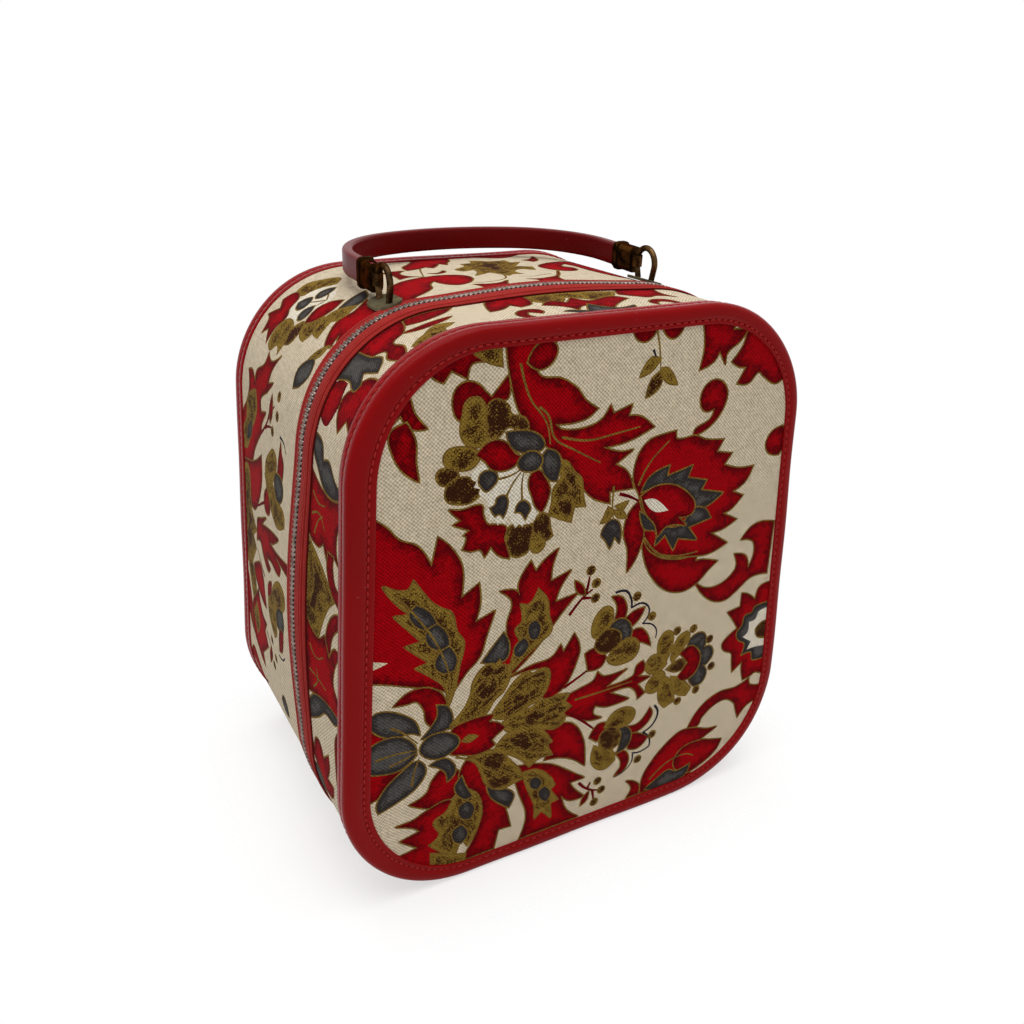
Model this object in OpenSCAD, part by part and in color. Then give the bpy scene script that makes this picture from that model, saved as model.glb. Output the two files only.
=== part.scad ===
// Soft cosmetic train case: a rounded, slightly tapered box of fabric-covered board with bound edges,
// a zip-round lid hinged along the base, and a drop handle on two wire loops.
// Lengths are in millimetres. +Z is up, the lid faces -Y, and the origin is the middle of the base.

/* [Case] */
// Width at the base, over the bindings
base_w = 221; // [190:1:300]
// Width at the top, over the bindings
top_w = 205; // [190:1:290]
// Height over the bindings
case_h = 240; // [190:1:320]
// Depth over the front and back bindings
case_d = 152; // [130:1:220]
// Radius of the four corners, over the bindings
corner_r = 55; // [40:1:70]
// Depth of the lid, from its face to the middle of the zipper
lid_d = 50; // [40:1:60]

/* [Walls] */
// Thickness of the covered board of the front and back panels
panel_t = 2.8; // [1.6:0.1:4]
// Thickness of the band that runs round the case
band_t = 3; // [2:0.1:5]
// Thickness of the lining
lining_t = 0.6; // [0.4:0.1:1.5]

/* [Binding] */
// Thickness of the binding where it lies flat
binding_t = 0.8; // [0.6:0.1:1.2]
// Width of the binding on a panel
binding_face_w = 10; // [8:0.5:16]
// Width of the binding on the band
binding_side_w = 9; // [7:0.5:16]
// Radius of the binding's rounded edge
binding_edge_r = 5; // [4.6:0.1:6]
// Distance from the case's outline to the board of a panel
panel_inset = 3; // [2.9:0.1:3.4]

/* [Zipper] */
// Width of the tape on the lid
lid_tape_w = 11; // [8:0.5:20]
// Width of the tape on the case
case_tape_w = 6; // [5:0.5:9]
// Thickness of the tapes
tape_t = 0.6; // [0.4:0.1:0.7]
// Distance between the band of the lid and the band of the case
band_gap = 8; // [7.6:0.1:10]
// Distance from tooth to tooth on one tape
tooth_pitch = 4.2; // [3.8:0.1:6]
// Width of a tooth along the tape
tooth_w = 1.8; // [1.2:0.1:1.85]
// Thickness of a tooth
tooth_t = 2.4; // [1.6:0.1:2.6]
// Length of a tooth across the tape
tooth_l = 4.8; // [4.2:0.1:5.4]
// Distance that a tooth reaches past the middle of the zipper
tooth_reach = 1.4; // [0.8:0.1:1.8]
// Angle below the horizontal at which the zipper ends on the lower corners
zipper_end = 38; // [20:1:60]

/* [Slider] */
// Length of the slider along the zipper
slider_l = 9; // [7:0.5:14]
// Width of the slider across the zipper
slider_w = 7.2; // [5.5:0.1:7.4]
// Thickness of the slider's two plates
slider_t = 1.1; // [0.8:0.1:1.4]
// Length of the pull tab below its pin
pull_l = 21; // [14:0.5:24]
// Width of the pull tab
pull_w = 6.4; // [5.6:0.1:9]
// Thickness of the pull tab
pull_t = 1.2; // [0.8:0.1:1.4]
// Radius of the pull tab's pin
pin_r = 0.65; // [0.5:0.05:0.8]

/* [Hinge] */
// Width of the hinge strip under the base
hinge_strip_w = 22; // [12:1:40]
// Radius of the roll along the hinge
hinge_roll_r = 0.9; // [0.8:0.05:1]

/* [Handle] */
// Distance between the legs of the handle
handle_span = 124; // [110:1:140]
// Height of the handle's arch over its pivot
handle_rise = 80; // [74:1:82]
// Radius of the handle's bends
handle_bend_r = 44; // [30:1:48]
// Angle by which each half of the handle's top bows
handle_bow = 20; // [10:1:25]
// Angle of the resting handle above the horizontal
handle_rest = 2.5; // [2:0.5:30]
// Width of the strap
strap_w = 10; // [8:0.5:12]
// Thickness of the strap
strap_t = 4.5; // [3:0.1:6]
// Radius of the strap's rounded edges
strap_edge_r = 1.6; // [0.8:0.1:2]

/* [Handle fittings] */
// Radius of the wire of the loops
wire_r = 1.3; // [1:0.05:1.6]
// Radius of the crown of a loop
crown_r = 6.5; // [6.2:0.1:9]
// Angle past the horizontal at which a crown turns into its legs
crown_tuck = 15; // [8:1:25]
// Length of an oval plate
plate_l = 18.5; // [18:0.5:28]
// Width of an oval plate
plate_w = 11; // [9:0.5:16]
// Distance between the zipper's teeth and an oval plate
plate_gap = 0.5; // [0.4:0.1:8]
// Thickness of an oval plate
plate_t = 1; // [0.8:0.1:1.8]
// Length of a ferrule
ferrule_l = 14; // [10:0.5:20]
// Thickness of a ferrule's sheet metal
ferrule_t = 0.7; // [0.6:0.1:1.4]
// Length of the knuckle that rides on the wire
knuckle_l = 5; // [3.5:0.1:6]
// Height of the rolled rib on a ferrule
rib_h = 0.6; // [0.3:0.1:1]
// Length of the notches in a ferrule's edges
notch_l = 6; // [3:0.5:7]

/* [Hidden] */
$fn = 96;
overrun = 1;
// Clearance between pieces that move past each other
run_clear = 0.3;
// Clearance of a fitted pin or wire
fit_clear = 0.06;
// Angle between the points of a rounded section, and of the binding's edge
arc_step = 30;
edge_step = 15;
// Steps of a swept piece round a corner of the case, a bend of the handle and the handle's bow
corner_steps = 24;
bend_steps = 10;
bow_steps = 12;

// Distance between the edges of the two tapes, clear of the teeth's tips
tape_gap = 2 * (tooth_reach + run_clear);
// Middle of the zipper, counted forward from the middle of the case
zip_f = case_d / 2 - lid_d;
// Face of the boards behind the binding, and the inner face of the boards, counted from the panel face
board_p = binding_t + panel_t;
// Inset of the band's inner face, and of the lining's
band_in = binding_t + band_t;
lining_in = band_in + lining_t;

// Corner centres seen from the front, from the upper right corner round to the lower right corner
corners = [
    [top_w / 2 - corner_r, case_h - corner_r],
    [corner_r - top_w / 2, case_h - corner_r],
    [corner_r - base_w / 2, corner_r],
    [base_w / 2 - corner_r, corner_r]
];
// Lean of the sides from the vertical
lean = atan2((base_w - top_w) / 2, case_h - 2 * corner_r);
arc_from = [lean, 90, 180 - lean, 270];
arc_to = [90, 180 - lean, 270, 360 + lean];

// The zipper's path: seven stretches, from the lower right corner over the top to the lower left corner
tooth_r = corner_r - binding_t + tape_t / 2;
path_corner = [3, 3, 0, 0, 1, 1, 2];
path_from = [360 - zipper_end, 0, arc_from[0], 0, arc_from[1], 0, arc_from[2]];
path_turn = [zipper_end + lean, 0, 90 - lean, 0, 90 - lean, 0, zipper_end + lean];
path_len = [for (k = [0 : 6]) k % 2 == 0 ? tooth_r * path_turn[k] * PI / 180 : run_len(path_corner[k])];
path_start = [for (k = 0, sum = 0; k < 7; sum = sum + path_len[k], k = k + 1) sum];
path_total = path_start[6] + path_len[6];

// The slider sits at the lower right end of the zipper, below the first teeth
slider_turn = (slider_l / 2) / corner_r * 180 / PI;
slider_angle = slider_turn - zipper_end;
teeth_from = slider_l + run_clear + tooth_w / 2;
tooth_count = floor((path_total - teeth_from) / tooth_pitch);

// Radial places in the slider, counted outward from the case's outline
tape_mid = tape_t / 2 - binding_t;
slider_room = tooth_t / 2 + run_clear;
crown_h = pull_t / 2 + run_clear + slider_t / 3;
pin_out = tape_mid + slider_room + slider_t + crown_h;
slider_crown_w = slider_w / 3;
slider_crown_r = crown_h + pin_r;
slider_post_w = tape_gap - 2 * run_clear;
slider_rim_w = slider_w / 10;

// Places of the handle and its fittings
hinge_y = -zip_f;
handle_y = hinge_y + tooth_l - tooth_reach + plate_gap + plate_l / 2;
leg_x = handle_span / 2;
ferrule_w = strap_w + 2 * ferrule_t;
ferrule_d = strap_t + 2 * ferrule_t;
knuckle_r = wire_r + run_clear + ferrule_t;
strap_from = crown_r + knuckle_r;
plate_in = binding_t - tape_t;
handle_z = top_z(leg_x - ferrule_d / 2, plate_in - plate_t) + ferrule_w / 2 + run_clear;
foot_z = top_z(leg_x - wire_r, plate_in) + wire_r * sin(crown_tuck) + fit_clear - handle_z;
leg_l = (-crown_r * sin(crown_tuck) - foot_z) / cos(crown_tuck);
bow_r = handle_bend_r + (leg_x - handle_bend_r) / sin(handle_bow);
bow_z = handle_rise - bow_r;
bend_z = bow_z + (bow_r - handle_bend_r) * cos(handle_bow);

fabric_c = [0.80, 0.72, 0.60];
lining_c = [0.86, 0.82, 0.74];
vinyl_c = [0.62, 0.06, 0.07];
tape_c = [0.72, 0.16, 0.15];
zinc_c = [0.62, 0.61, 0.59];
brass_c = [0.36, 0.27, 0.15];

// Direction at an angle, seen from the front
function turned(a) = [cos(a), sin(a)];

// Length of the straight stretch that follows a corner, going anticlockwise
function next(i) = (i + 1) % 4;
function run_len(i) = norm(corners[next(i)] - corners[i]);

// Height of the case's top at a distance from its middle, for an inset from the outline
function top_z(x, inset) =
    let (over = max(0, abs(x) - corners[0][0]), r = corner_r - inset)
    corners[0][1] + sqrt(r * r - over * over);

// Place and outward angle on the zipper's path at a distance along it
function stretch(s) = len([for (start = path_start) if (s >= start) start]) - 1;
function path_angle(k, s) =
    k % 2 == 0 ? path_from[k] + (s - path_start[k]) / tooth_r * 180 / PI : arc_to[path_corner[k]];
function path_point(k, s) =
    let (along = k % 2 == 0 ? 0 : s - path_start[k], a = path_angle(k, s))
    corners[path_corner[k]] + tooth_r * turned(a) + along * turned(a + 90);

// Outline of the case seen from the front: four rounded corners and the straight sides between them
module outline(inset) {
    r = corner_r - inset;
    for (c = corners)
        translate(c)
            circle(r);
    polygon([for (i = [0 : 3]) each [corners[i] + r * turned(arc_from[i]), corners[i] + r * turned(arc_to[i])]]);
}

// Turns a shape drawn as seen from the front, with its height along the view, into the case's frame
module stand() {
    rotate([90, 0, 0])
        children();
}

module slab(inset, from, to) {
    stand()
        translate([0, 0, from])
            linear_extrude(to - from)
                outline(inset);
}

module ring(outer, inner, from, to) {
    difference() {
        slab(outer, from, to);
        slab(inner, from - overrun, to + overrun);
    }
}

// Faces of a sweep: sections of equal length joined in turn, as a closed ring or with two capped ends
function sweep_faces(sections, points, closed) = concat(
    [for (i = [0 : sections - (closed ? 1 : 2)], j = [0 : points - 1])
        let (a = i * points, b = (i + 1) % sections * points, k = (j + 1) % points)
        [a + j, a + k, b + k, b + j]],
    closed ? [] : [
        [for (j = [points - 1 : -1 : 0]) j],
        [for (j = [0 : points - 1]) (sections - 1) * points + j]
    ]
);

// Section of a binding, counted inward from the outline and back from the panel face
function binding_section() =
    let (flat = binding_t - fit_clear, inset = panel_inset - fit_clear, depth = board_p - fit_clear)
    concat(
        [[0, binding_side_w]],
        [for (a = [180 : edge_step : 270]) [binding_edge_r, binding_edge_r] + binding_edge_r * turned(a)],
        [[binding_face_w, 0], [binding_face_w, flat], [inset, flat]],
        [[inset, depth], [flat, depth], [flat, binding_side_w]]
    );

// A binding: its section carried round the four corners of the outline
module binding() {
    section = binding_section();
    stops = [for (i = [0 : 3], k = [0 : corner_steps])
        [corners[i], arc_from[i] + (arc_to[i] - arc_from[i]) * k / corner_steps]];
    stand()
        polyhedron(
            points = [for (stop = stops, q = section)
                concat(stop[0] + (corner_r - q[0]) * turned(stop[1]), case_d / 2 - q[1])],
            faces = sweep_faces(len(stops), len(section), true)
        );
}

module tape(from, width) {
    ring(binding_t - tape_t, binding_t, from, from + width);
}

// A row of teeth: small blocks along the zipper's path, slotted where they grip the tape
module teeth(shift, from) {
    stand()
        translate([0, 0, from])
            linear_extrude(tooth_l)
                for (n = [0 : tooth_count - 1]) {
                    s = teeth_from + (n + shift) * tooth_pitch;
                    k = stretch(s);
                    translate(path_point(k, s))
                        rotate(path_angle(k, s))
                            square([tooth_t, tooth_w], center = true);
                }
}

// Rectangle with rounded corners, as one outline
function rounded(size, r) =
    let (half = size / 2 - [r, r], signs = [[1, 1], [-1, 1], [-1, -1], [1, -1]])
    [for (i = [0 : 3], a = [0 : arc_step : 90])
        [signs[i][0] * half[0], signs[i][1] * half[1]] + r * turned(90 * i + a)];

module panel_board(inset) {
    slab(inset, case_d / 2 - board_p, case_d / 2 - binding_t);
}

module back_panel() {
    color(fabric_c)
        mirror([0, 1, 0])
            panel_board(panel_inset);
}

module front_panel() {
    color(fabric_c)
        panel_board(panel_inset);
}

module case_band() {
    color(fabric_c)
        ring(binding_t, band_in, board_p - case_d / 2, zip_f - band_gap / 2);
}

module lid_band() {
    color(fabric_c)
        ring(binding_t, band_in, zip_f + band_gap / 2, case_d / 2 - board_p);
}

// A lining is a tray: a skin inside the band and a sheet over the panel's board
module case_lining() {
    back = board_p - case_d / 2;
    color(lining_c)
        difference() {
            slab(band_in, back, zip_f - band_gap / 2);
            slab(lining_in, back + lining_t, zip_f);
        }
}

module lid_lining() {
    front = case_d / 2 - board_p;
    color(lining_c)
        difference() {
            slab(band_in, zip_f + band_gap / 2, front);
            slab(lining_in, zip_f, front - lining_t);
        }
}

module case_binding() {
    color(vinyl_c)
        mirror([0, 1, 0])
            binding();
}

module lid_binding() {
    color(vinyl_c)
        binding();
}

// The tape of the case stops at the hinge strip
module case_tape() {
    color(tape_c)
        difference() {
            tape(zip_f - tape_gap / 2 - case_tape_w, case_tape_w);
            translate([-corners[3][0], -case_d / 2, -overrun])
                cube([2 * corners[3][0], case_d, corner_r]);
        }
}

module lid_tape() {
    color(tape_c)
        tape(zip_f + tape_gap / 2, lid_tape_w);
}

module case_teeth() {
    color(zinc_c)
        difference() {
            teeth(1 / 2, zip_f + tooth_reach - tooth_l);
            case_tape();
        }
}

module lid_teeth() {
    color(zinc_c)
        difference() {
            teeth(0, zip_f - tooth_reach);
            lid_tape();
        }
}

// Strip sewn under the base, rolled along the line about which the lid turns
module hinge_strip() {
    color(vinyl_c)
        translate([-corners[3][0], 0, 0]) {
            translate([0, hinge_y, 0])
                cube([2 * corners[3][0], hinge_strip_w, binding_t]);
            translate([0, hinge_y, hinge_roll_r])
                rotate([0, 90, 0])
                    cylinder(h = 2 * corners[3][0], r = hinge_roll_r);
        }
}

// Frame of the slider: x outward from the outline, y along the zipper, z forward from its middle
module at_slider() {
    stand()
        translate(concat(corners[3], zip_f))
            rotate([0, 0, slider_angle])
                translate([corner_r, 0, 0])
                    children();
}

module slider_plate(from, t) {
    translate([from + t / 2, 0, -slider_w / 2])
        linear_extrude(slider_w)
            square([t, slider_l], center = true);
}

module slider_rim(side) {
    reach = slider_room - tape_t / 2 - run_clear;
    translate([tape_mid + tape_t / 2 + run_clear + reach / 2, 0, side * (slider_w - slider_rim_w) / 2])
        cube([reach, slider_l, slider_rim_w], center = true);
}

// Two plates on a post, with rims over the tapes and a drilled crown for the pull tab
module slider() {
    post_h = 2 * slider_room;
    color(zinc_c)
        at_slider()
            difference() {
                union() {
                    slider_plate(tape_mid + slider_room, slider_t);
                    slider_plate(tape_mid - slider_room - slider_t, slider_t);
                    slider_rim(-1);
                    slider_rim(1);
                    translate([tape_mid, slider_l / 4, 0])
                        cube([post_h, slider_l / 3, slider_post_w], center = true);
                    translate([pin_out, 0, -slider_crown_w / 2])
                        cylinder(h = slider_crown_w, r = slider_crown_r);
                }
                translate([pin_out, 0, -slider_w])
                    cylinder(h = 2 * slider_w, r = pin_r + fit_clear);
                translate([tape_mid - slider_room, -slider_l, -slider_post_w])
                    cube([2 * slider_room, slider_l, 2 * slider_post_w]);
            }
}

// Pull tab: hangs plumb on a pin through the slider's crown
module pull_tab() {
    arm = slider_crown_r + 2 * run_clear;
    window_w = slider_crown_w + 2 * run_clear;
    pin = corners[3] + (corner_r + pin_out) * turned(slider_angle);
    color(zinc_c)
        stand()
            translate([pin[0], pin[1], zip_f]) {
                difference() {
                    translate([0, -pull_l / 2, 0])
                        rotate([0, 90, 0])
                            linear_extrude(pull_t, center = true)
                                polygon(rounded([pull_w, pull_l], pull_w / 4));
                    cube([2 * pull_t, 2 * arm, window_w], center = true);
                }
                translate([0, 0, -pull_w / 2])
                    cylinder(h = pull_w, r = pin_r);
            }
}

// Wire loop: a crown of wire with two tucked legs. Grown and longer, it makes its own holes in a plate.
module loop(grown, longer) {
    r = wire_r + grown;
    rotate([90, 0, 90]) {
        rotate([0, 0, -crown_tuck])
            rotate_extrude(angle = 180 + 2 * crown_tuck)
                translate([crown_r, 0])
                    circle(r);
        for (side = [0, 1])
            mirror([side, 0, 0])
                rotate([0, 0, -crown_tuck])
                    translate([crown_r, 0, 0])
                        rotate([90, 0, 0])
                            cylinder(h = leg_l + longer, r = r);
    }
}

module at_loop(side) {
    translate([side * leg_x, handle_y, handle_z])
        children();
}

// Oval plate: lies on the tape at the shoulder of the case and takes the two feet of a loop
module plate(side) {
    color(brass_c)
        difference() {
            intersection() {
                ring(plate_in - plate_t, plate_in, -handle_y - plate_l, -handle_y + plate_l);
                translate([side * leg_x, handle_y, corners[0][1]])
                    linear_extrude(case_h)
                        union() {
                            square([plate_w, plate_l - plate_w], center = true);
                            for (end = [-1, 1])
                                translate([0, end * (plate_l - plate_w) / 2])
                                    circle(plate_w / 2);
                        }
            }
            at_loop(side)
                loop(fit_clear, plate_t + overrun);
        }
}

module left_plate() {
    plate(-1);
}

module right_plate() {
    plate(1);
}

module left_loop() {
    color(brass_c)
        at_loop(-1)
            loop(0, 0);
}

module right_loop() {
    color(brass_c)
        at_loop(1)
            loop(0, 0);
}

// Frame of the handle, drawn upright over its pivot and laid back to its rest
module at_handle() {
    translate([0, handle_y, handle_z])
        rotate([handle_rest - 90, 0, 0])
            children();
}

// Section of the strap, with its thickness across the arch
function strap_section() = rounded([strap_t, strap_w], strap_edge_r);

// Stops along one half of the handle's arch: its place over the pivot and the way its outer face looks
function strap_stops() = concat(
    [[[leg_x, strap_from], 0]],
    [for (k = [0 : bend_steps])
        let (a = (90 - handle_bow) * k / bend_steps)
        [[leg_x - handle_bend_r, bend_z] + handle_bend_r * turned(a), a]],
    [for (k = [1 : bow_steps])
        let (a = 90 - handle_bow + 2 * handle_bow * k / bow_steps)
        [[0, bow_z] + bow_r * turned(a), a]],
    [for (k = [1 : bend_steps])
        let (a = 90 + handle_bow + (90 - handle_bow) * k / bend_steps)
        [[handle_bend_r - leg_x, bend_z] + handle_bend_r * turned(a), a]],
    [[[-leg_x, strap_from], 180]]
);

module strap() {
    section = strap_section();
    stops = strap_stops();
    color(vinyl_c)
        at_handle()
            rotate([90, 0, 0])
                polyhedron(
                    points = [for (stop = stops, q = section) concat(stop[0] + q[0] * turned(stop[1]), q[1])],
                    faces = sweep_faces(len(stops), len(section), false)
                );
}

// Ferrule: a sleeve round the strap's end with a rolled rib and notched edges, and a knuckle on the wire
module ferrule(side) {
    rib_l = ferrule_l / 7;
    rib_size = [ferrule_d, ferrule_w] + 2 * [rib_h, rib_h];
    notch_w = strap_t - strap_edge_r;
    color(brass_c)
        at_handle()
            translate([side * leg_x, 0, 0])
                difference() {
                    union() {
                        translate([0, knuckle_l / 2, crown_r])
                            rotate([90, 0, 0])
                                cylinder(h = knuckle_l, r = knuckle_r);
                        translate([0, 0, strap_from - ferrule_t])
                            linear_extrude(ferrule_l)
                                polygon(rounded([ferrule_d, ferrule_w], strap_edge_r + ferrule_t / 2));
                        translate([0, 0, strap_from - ferrule_t + ferrule_l - 2 * rib_l])
                            linear_extrude(rib_l)
                                polygon(rounded(rib_size, strap_edge_r + ferrule_t / 2));
                    }
                    translate([0, 0, strap_from])
                        linear_extrude(ferrule_l)
                            polygon(strap_section());
                    translate([0, 0, strap_from + notch_l / 2])
                        cube([notch_w, 2 * ferrule_w, notch_l], center = true);
                    rotate([0, 90, 0])
                        rotate_extrude()
                            translate([crown_r, 0])
                                circle(wire_r + run_clear);
                }
}

module left_ferrule() {
    ferrule(-1);
}

module right_ferrule() {
    ferrule(1);
}

back_panel();
case_band();
case_lining();
case_binding();
case_tape();
case_teeth();
hinge_strip();
slider();
left_plate();
right_plate();
left_loop();
right_loop();
front_panel();
lid_band();
lid_lining();
lid_binding();
lid_tape();
lid_teeth();
pull_tab();
strap();
left_ferrule();
right_ferrule();
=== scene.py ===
# A soft cosmetic train case: covered boards with bound edges, a zip-round lid and a drop handle.
# Cloth and outline sizes below are in millimetres, and turn into metres where a mesh is made.
import math
import bpy
import numpy as np
from mathutils import Matrix, Vector, geometry


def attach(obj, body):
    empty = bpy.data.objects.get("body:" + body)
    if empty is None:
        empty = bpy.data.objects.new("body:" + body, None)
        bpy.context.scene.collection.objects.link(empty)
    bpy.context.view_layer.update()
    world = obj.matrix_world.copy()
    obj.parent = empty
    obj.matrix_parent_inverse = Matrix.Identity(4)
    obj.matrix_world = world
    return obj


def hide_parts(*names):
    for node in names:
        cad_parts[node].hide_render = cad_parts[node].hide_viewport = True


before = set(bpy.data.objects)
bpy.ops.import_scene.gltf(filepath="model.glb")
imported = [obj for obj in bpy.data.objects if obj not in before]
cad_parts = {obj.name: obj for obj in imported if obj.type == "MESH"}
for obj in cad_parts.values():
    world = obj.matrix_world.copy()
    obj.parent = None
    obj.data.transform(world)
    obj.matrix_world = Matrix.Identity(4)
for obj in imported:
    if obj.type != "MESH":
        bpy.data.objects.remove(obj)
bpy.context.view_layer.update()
bpy.ops.object.select_all(action="DESELECT")


# Front and back panels
# Boards covered in a cotton print with a traditional scrolling flower pattern, held all round by the bindings.
# The print lies in the mesh: each field of colour is a patch of faces, and the weave comes from the material.

# The case's outline seen from the front, walked from the middle of the top down the left side
CORNER_R, CLOTH_IN = 55.0, 0.8
TOP_X, TOP_Z, BASE_X, BASE_Z = 47.5, 185, 55.5, 55
CLOTH_R = CORNER_R - CLOTH_IN
QUARTER = math.pi / 2
LEAN = math.atan2(BASE_X - TOP_X, TOP_Z - BASE_Z)
SIDE = math.hypot(BASE_X - TOP_X, TOP_Z - BASE_Z)
UPPER, LOWER = CLOTH_R * (QUARTER - LEAN), CLOTH_R * (QUARTER + LEAN)

# Each stretch of it: the centre it starts at, the way it faces there, its length and whether it bends
STRETCHES = [
    ((0, TOP_Z), QUARTER, TOP_X, 0),
    ((-TOP_X, TOP_Z), QUARTER, UPPER, 1),
    ((-TOP_X, TOP_Z), 2 * QUARTER - LEAN, SIDE, 0),
    ((-BASE_X, BASE_Z), 2 * QUARTER - LEAN, LOWER, 1),
    ((-BASE_X, BASE_Z), 3 * QUARTER, 2 * BASE_X, 0),
    ((BASE_X, BASE_Z), 3 * QUARTER, LOWER, 1),
    ((BASE_X, BASE_Z), 4 * QUARTER + LEAN, SIDE, 0),
    ((TOP_X, TOP_Z), LEAN, UPPER, 1),
    ((TOP_X, TOP_Z), QUARTER, TOP_X, 0),
]
BASES = np.array([s[0] for s in STRETCHES], float)
ANGLES = np.array([s[1] for s in STRETCHES])
BENDS = np.array([s[3] for s in STRETCHES])
STARTS = np.concatenate([[0], np.cumsum([s[2] for s in STRETCHES])])
GIRTH = STARTS[-1]
BEND_STEP, FLAT_STEP = 2.2, 6


def around(u, inset):
    """Points and outward directions on the outline, u along it and an inset from it."""
    u = np.mod(u, GIRTH)
    k = np.clip(np.searchsorted(STARTS, u, side="right") - 1, 0, len(STRETCHES) - 1)
    t = u - STARTS[k]
    a = ANGLES[k] + np.where(BENDS[k], t / CLOTH_R, 0)
    out = np.stack([np.cos(a), np.sin(a)], -1)
    along = np.stack([-out[..., 1], out[..., 0]], -1)
    reach = (CORNER_R - np.asarray(inset, float))[..., None]
    return BASES[k] + reach * out + np.where(BENDS[k], 0, t)[..., None] * along, out


def stops(first, last):
    """Places along the outline: close together on the corners, wider on the straights."""
    u = [first, last]
    for turn in (0, GIRTH, -GIRTH):
        for start, (_, _, length, bend) in zip(STARTS, STRETCHES):
            n = int(math.ceil(length / (BEND_STEP if bend else FLAT_STEP)))
            u += list(start + turn + length * np.arange(n) / n)
    u = np.unique(np.round(np.array(u), 4))
    return u[(u >= first) & (u <= last)]


def curve(points, closed=True, step=0.75, sharp=76):
    """A smooth line through given points, with a corner wherever it turns sharply."""
    p = np.array(points, float)
    n = len(p)
    ahead, behind = np.roll(p, -1, 0) - p, p - np.roll(p, 1, 0)
    cos = (ahead * behind).sum(1) / (np.linalg.norm(ahead, axis=1) * np.linalg.norm(behind, axis=1) + 1e-9)
    corner = cos < math.cos(math.radians(sharp))
    if not closed:
        corner[0] = corner[-1] = True
    way = np.roll(p, -1, 0) - np.roll(p, 1, 0)
    way /= np.linalg.norm(way, axis=1)[:, None] + 1e-9
    line = []
    for i in range(n if closed else n - 1):
        j = (i + 1) % n
        a, b = p[i], p[j]
        size = np.linalg.norm(b - a)
        ma, mb = way[i] * size, way[j] * size
        if corner[i]:
            ma = 1.5 * (b - a) - 0.5 * (mb if not corner[j] else b - a)
        if corner[j]:
            mb = 1.5 * (b - a) - 0.5 * (ma if not corner[i] else b - a)
        parts = max(2, int(size / step))
        t = np.arange(parts)[:, None] / parts
        start, end = 2 * t**3 - 3 * t**2 + 1, 3 * t**2 - 2 * t**3
        line.append(start * a + (t**3 - 2 * t**2 + t) * ma + end * b + (t**3 - t**2) * mb)
    if not closed:
        line.append(p[-1:])
    return np.concatenate(line)


def grown(line, by, mitre=0.62):
    """A closed line moved outward by a distance."""
    area = (line[:, 0] * np.roll(line[:, 1], -1) - np.roll(line[:, 0], -1) * line[:, 1]).sum()
    edge = np.roll(line, -1, 0) - line
    out = np.stack([edge[:, 1], -edge[:, 0]], 1) * (1 if area > 0 else -1)
    out /= np.linalg.norm(out, axis=1)[:, None] + 1e-9
    mean = out + np.roll(out, 1, 0)
    mean /= np.maximum((mean**2).sum(1) / 2, mitre)[:, None]
    return line + by * mean


def inside(points, line):
    """Which points a closed line winds round."""
    a, b = line, np.roll(line, -1, 0)
    turns = np.zeros(len(points), int)
    for (ax, ay), (bx, by) in zip(a, b):
        side = (bx - ax) * (points[:, 1] - ay) - (points[:, 0] - ax) * (by - ay)
        turns += ((ay <= points[:, 1]) & (by > points[:, 1]) & (side > 0)).astype(int)
        turns -= ((ay > points[:, 1]) & (by <= points[:, 1]) & (side < 0)).astype(int)
    return turns != 0


def depth_in(points, line):
    """How far points lie from a closed line."""
    a, b = line, np.roll(line, -1, 0)
    ab = b - a
    best = np.full(len(points), 1e9)
    for p, d in zip(a, ab):
        t = np.clip(((points - p) @ d) / (d @ d + 1e-12), 0, 1)
        best = np.minimum(best, ((points - p - t[:, None] * d)**2).sum(1))
    return np.sqrt(best)


def linear(r, g, b):
    """A colour named by its 0 to 255 values, as Blender mixes it."""
    return tuple((c / 255 / 12.92) if c < 11 else ((c / 255 + 0.055) / 1.055)**2.4 for c in (r, g, b))


# Inks: the colour, the colour it is shaded with, how much of that at the edge and in the middle, over what
# distance, and whether the two meet in fine dots (1) or softly (0)
INKS = {
    "cloth": (linear(216, 200, 173), linear(198, 180, 150), 0.3, 0.3, 3, 0.0),
    "white": (linear(230, 220, 200), linear(208, 192, 164), 0.2, 0.1, 3, 0.0),
    "red": (linear(160, 4, 14), linear(92, 4, 10), 0.66, 0.26, 6, 0.16),
    "gold": (linear(138, 110, 44), linear(62, 34, 16), 0.16, 0.55, 2.0, 1.0),
    "brown": (linear(138, 108, 46), linear(58, 30, 15), 0.5, 0.78, 1.6, 1.0),
    "slate": (linear(84, 81, 78), linear(52, 47, 45), 0.8, 0.34, 3, 0.45),
    "navy": (linear(44, 42, 54), linear(36, 32, 40), 0.5, 0.5, 1, 0.0),
    "rim": (linear(138, 110, 46), linear(104, 76, 34), 0.5, 0.5, 1, 0.4),
}

LINE_HALF = {"navy": 0.5, "red": 0.65, "rim": 0.42}
DOT_R, DOT_RIM, PATCH_RIM = 1.9, 0.5, 0.7


def pairs(text):
    """Points written as x,y pairs."""
    return [tuple(float(c) for c in pair.split(",")) for pair in text.split()]


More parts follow.
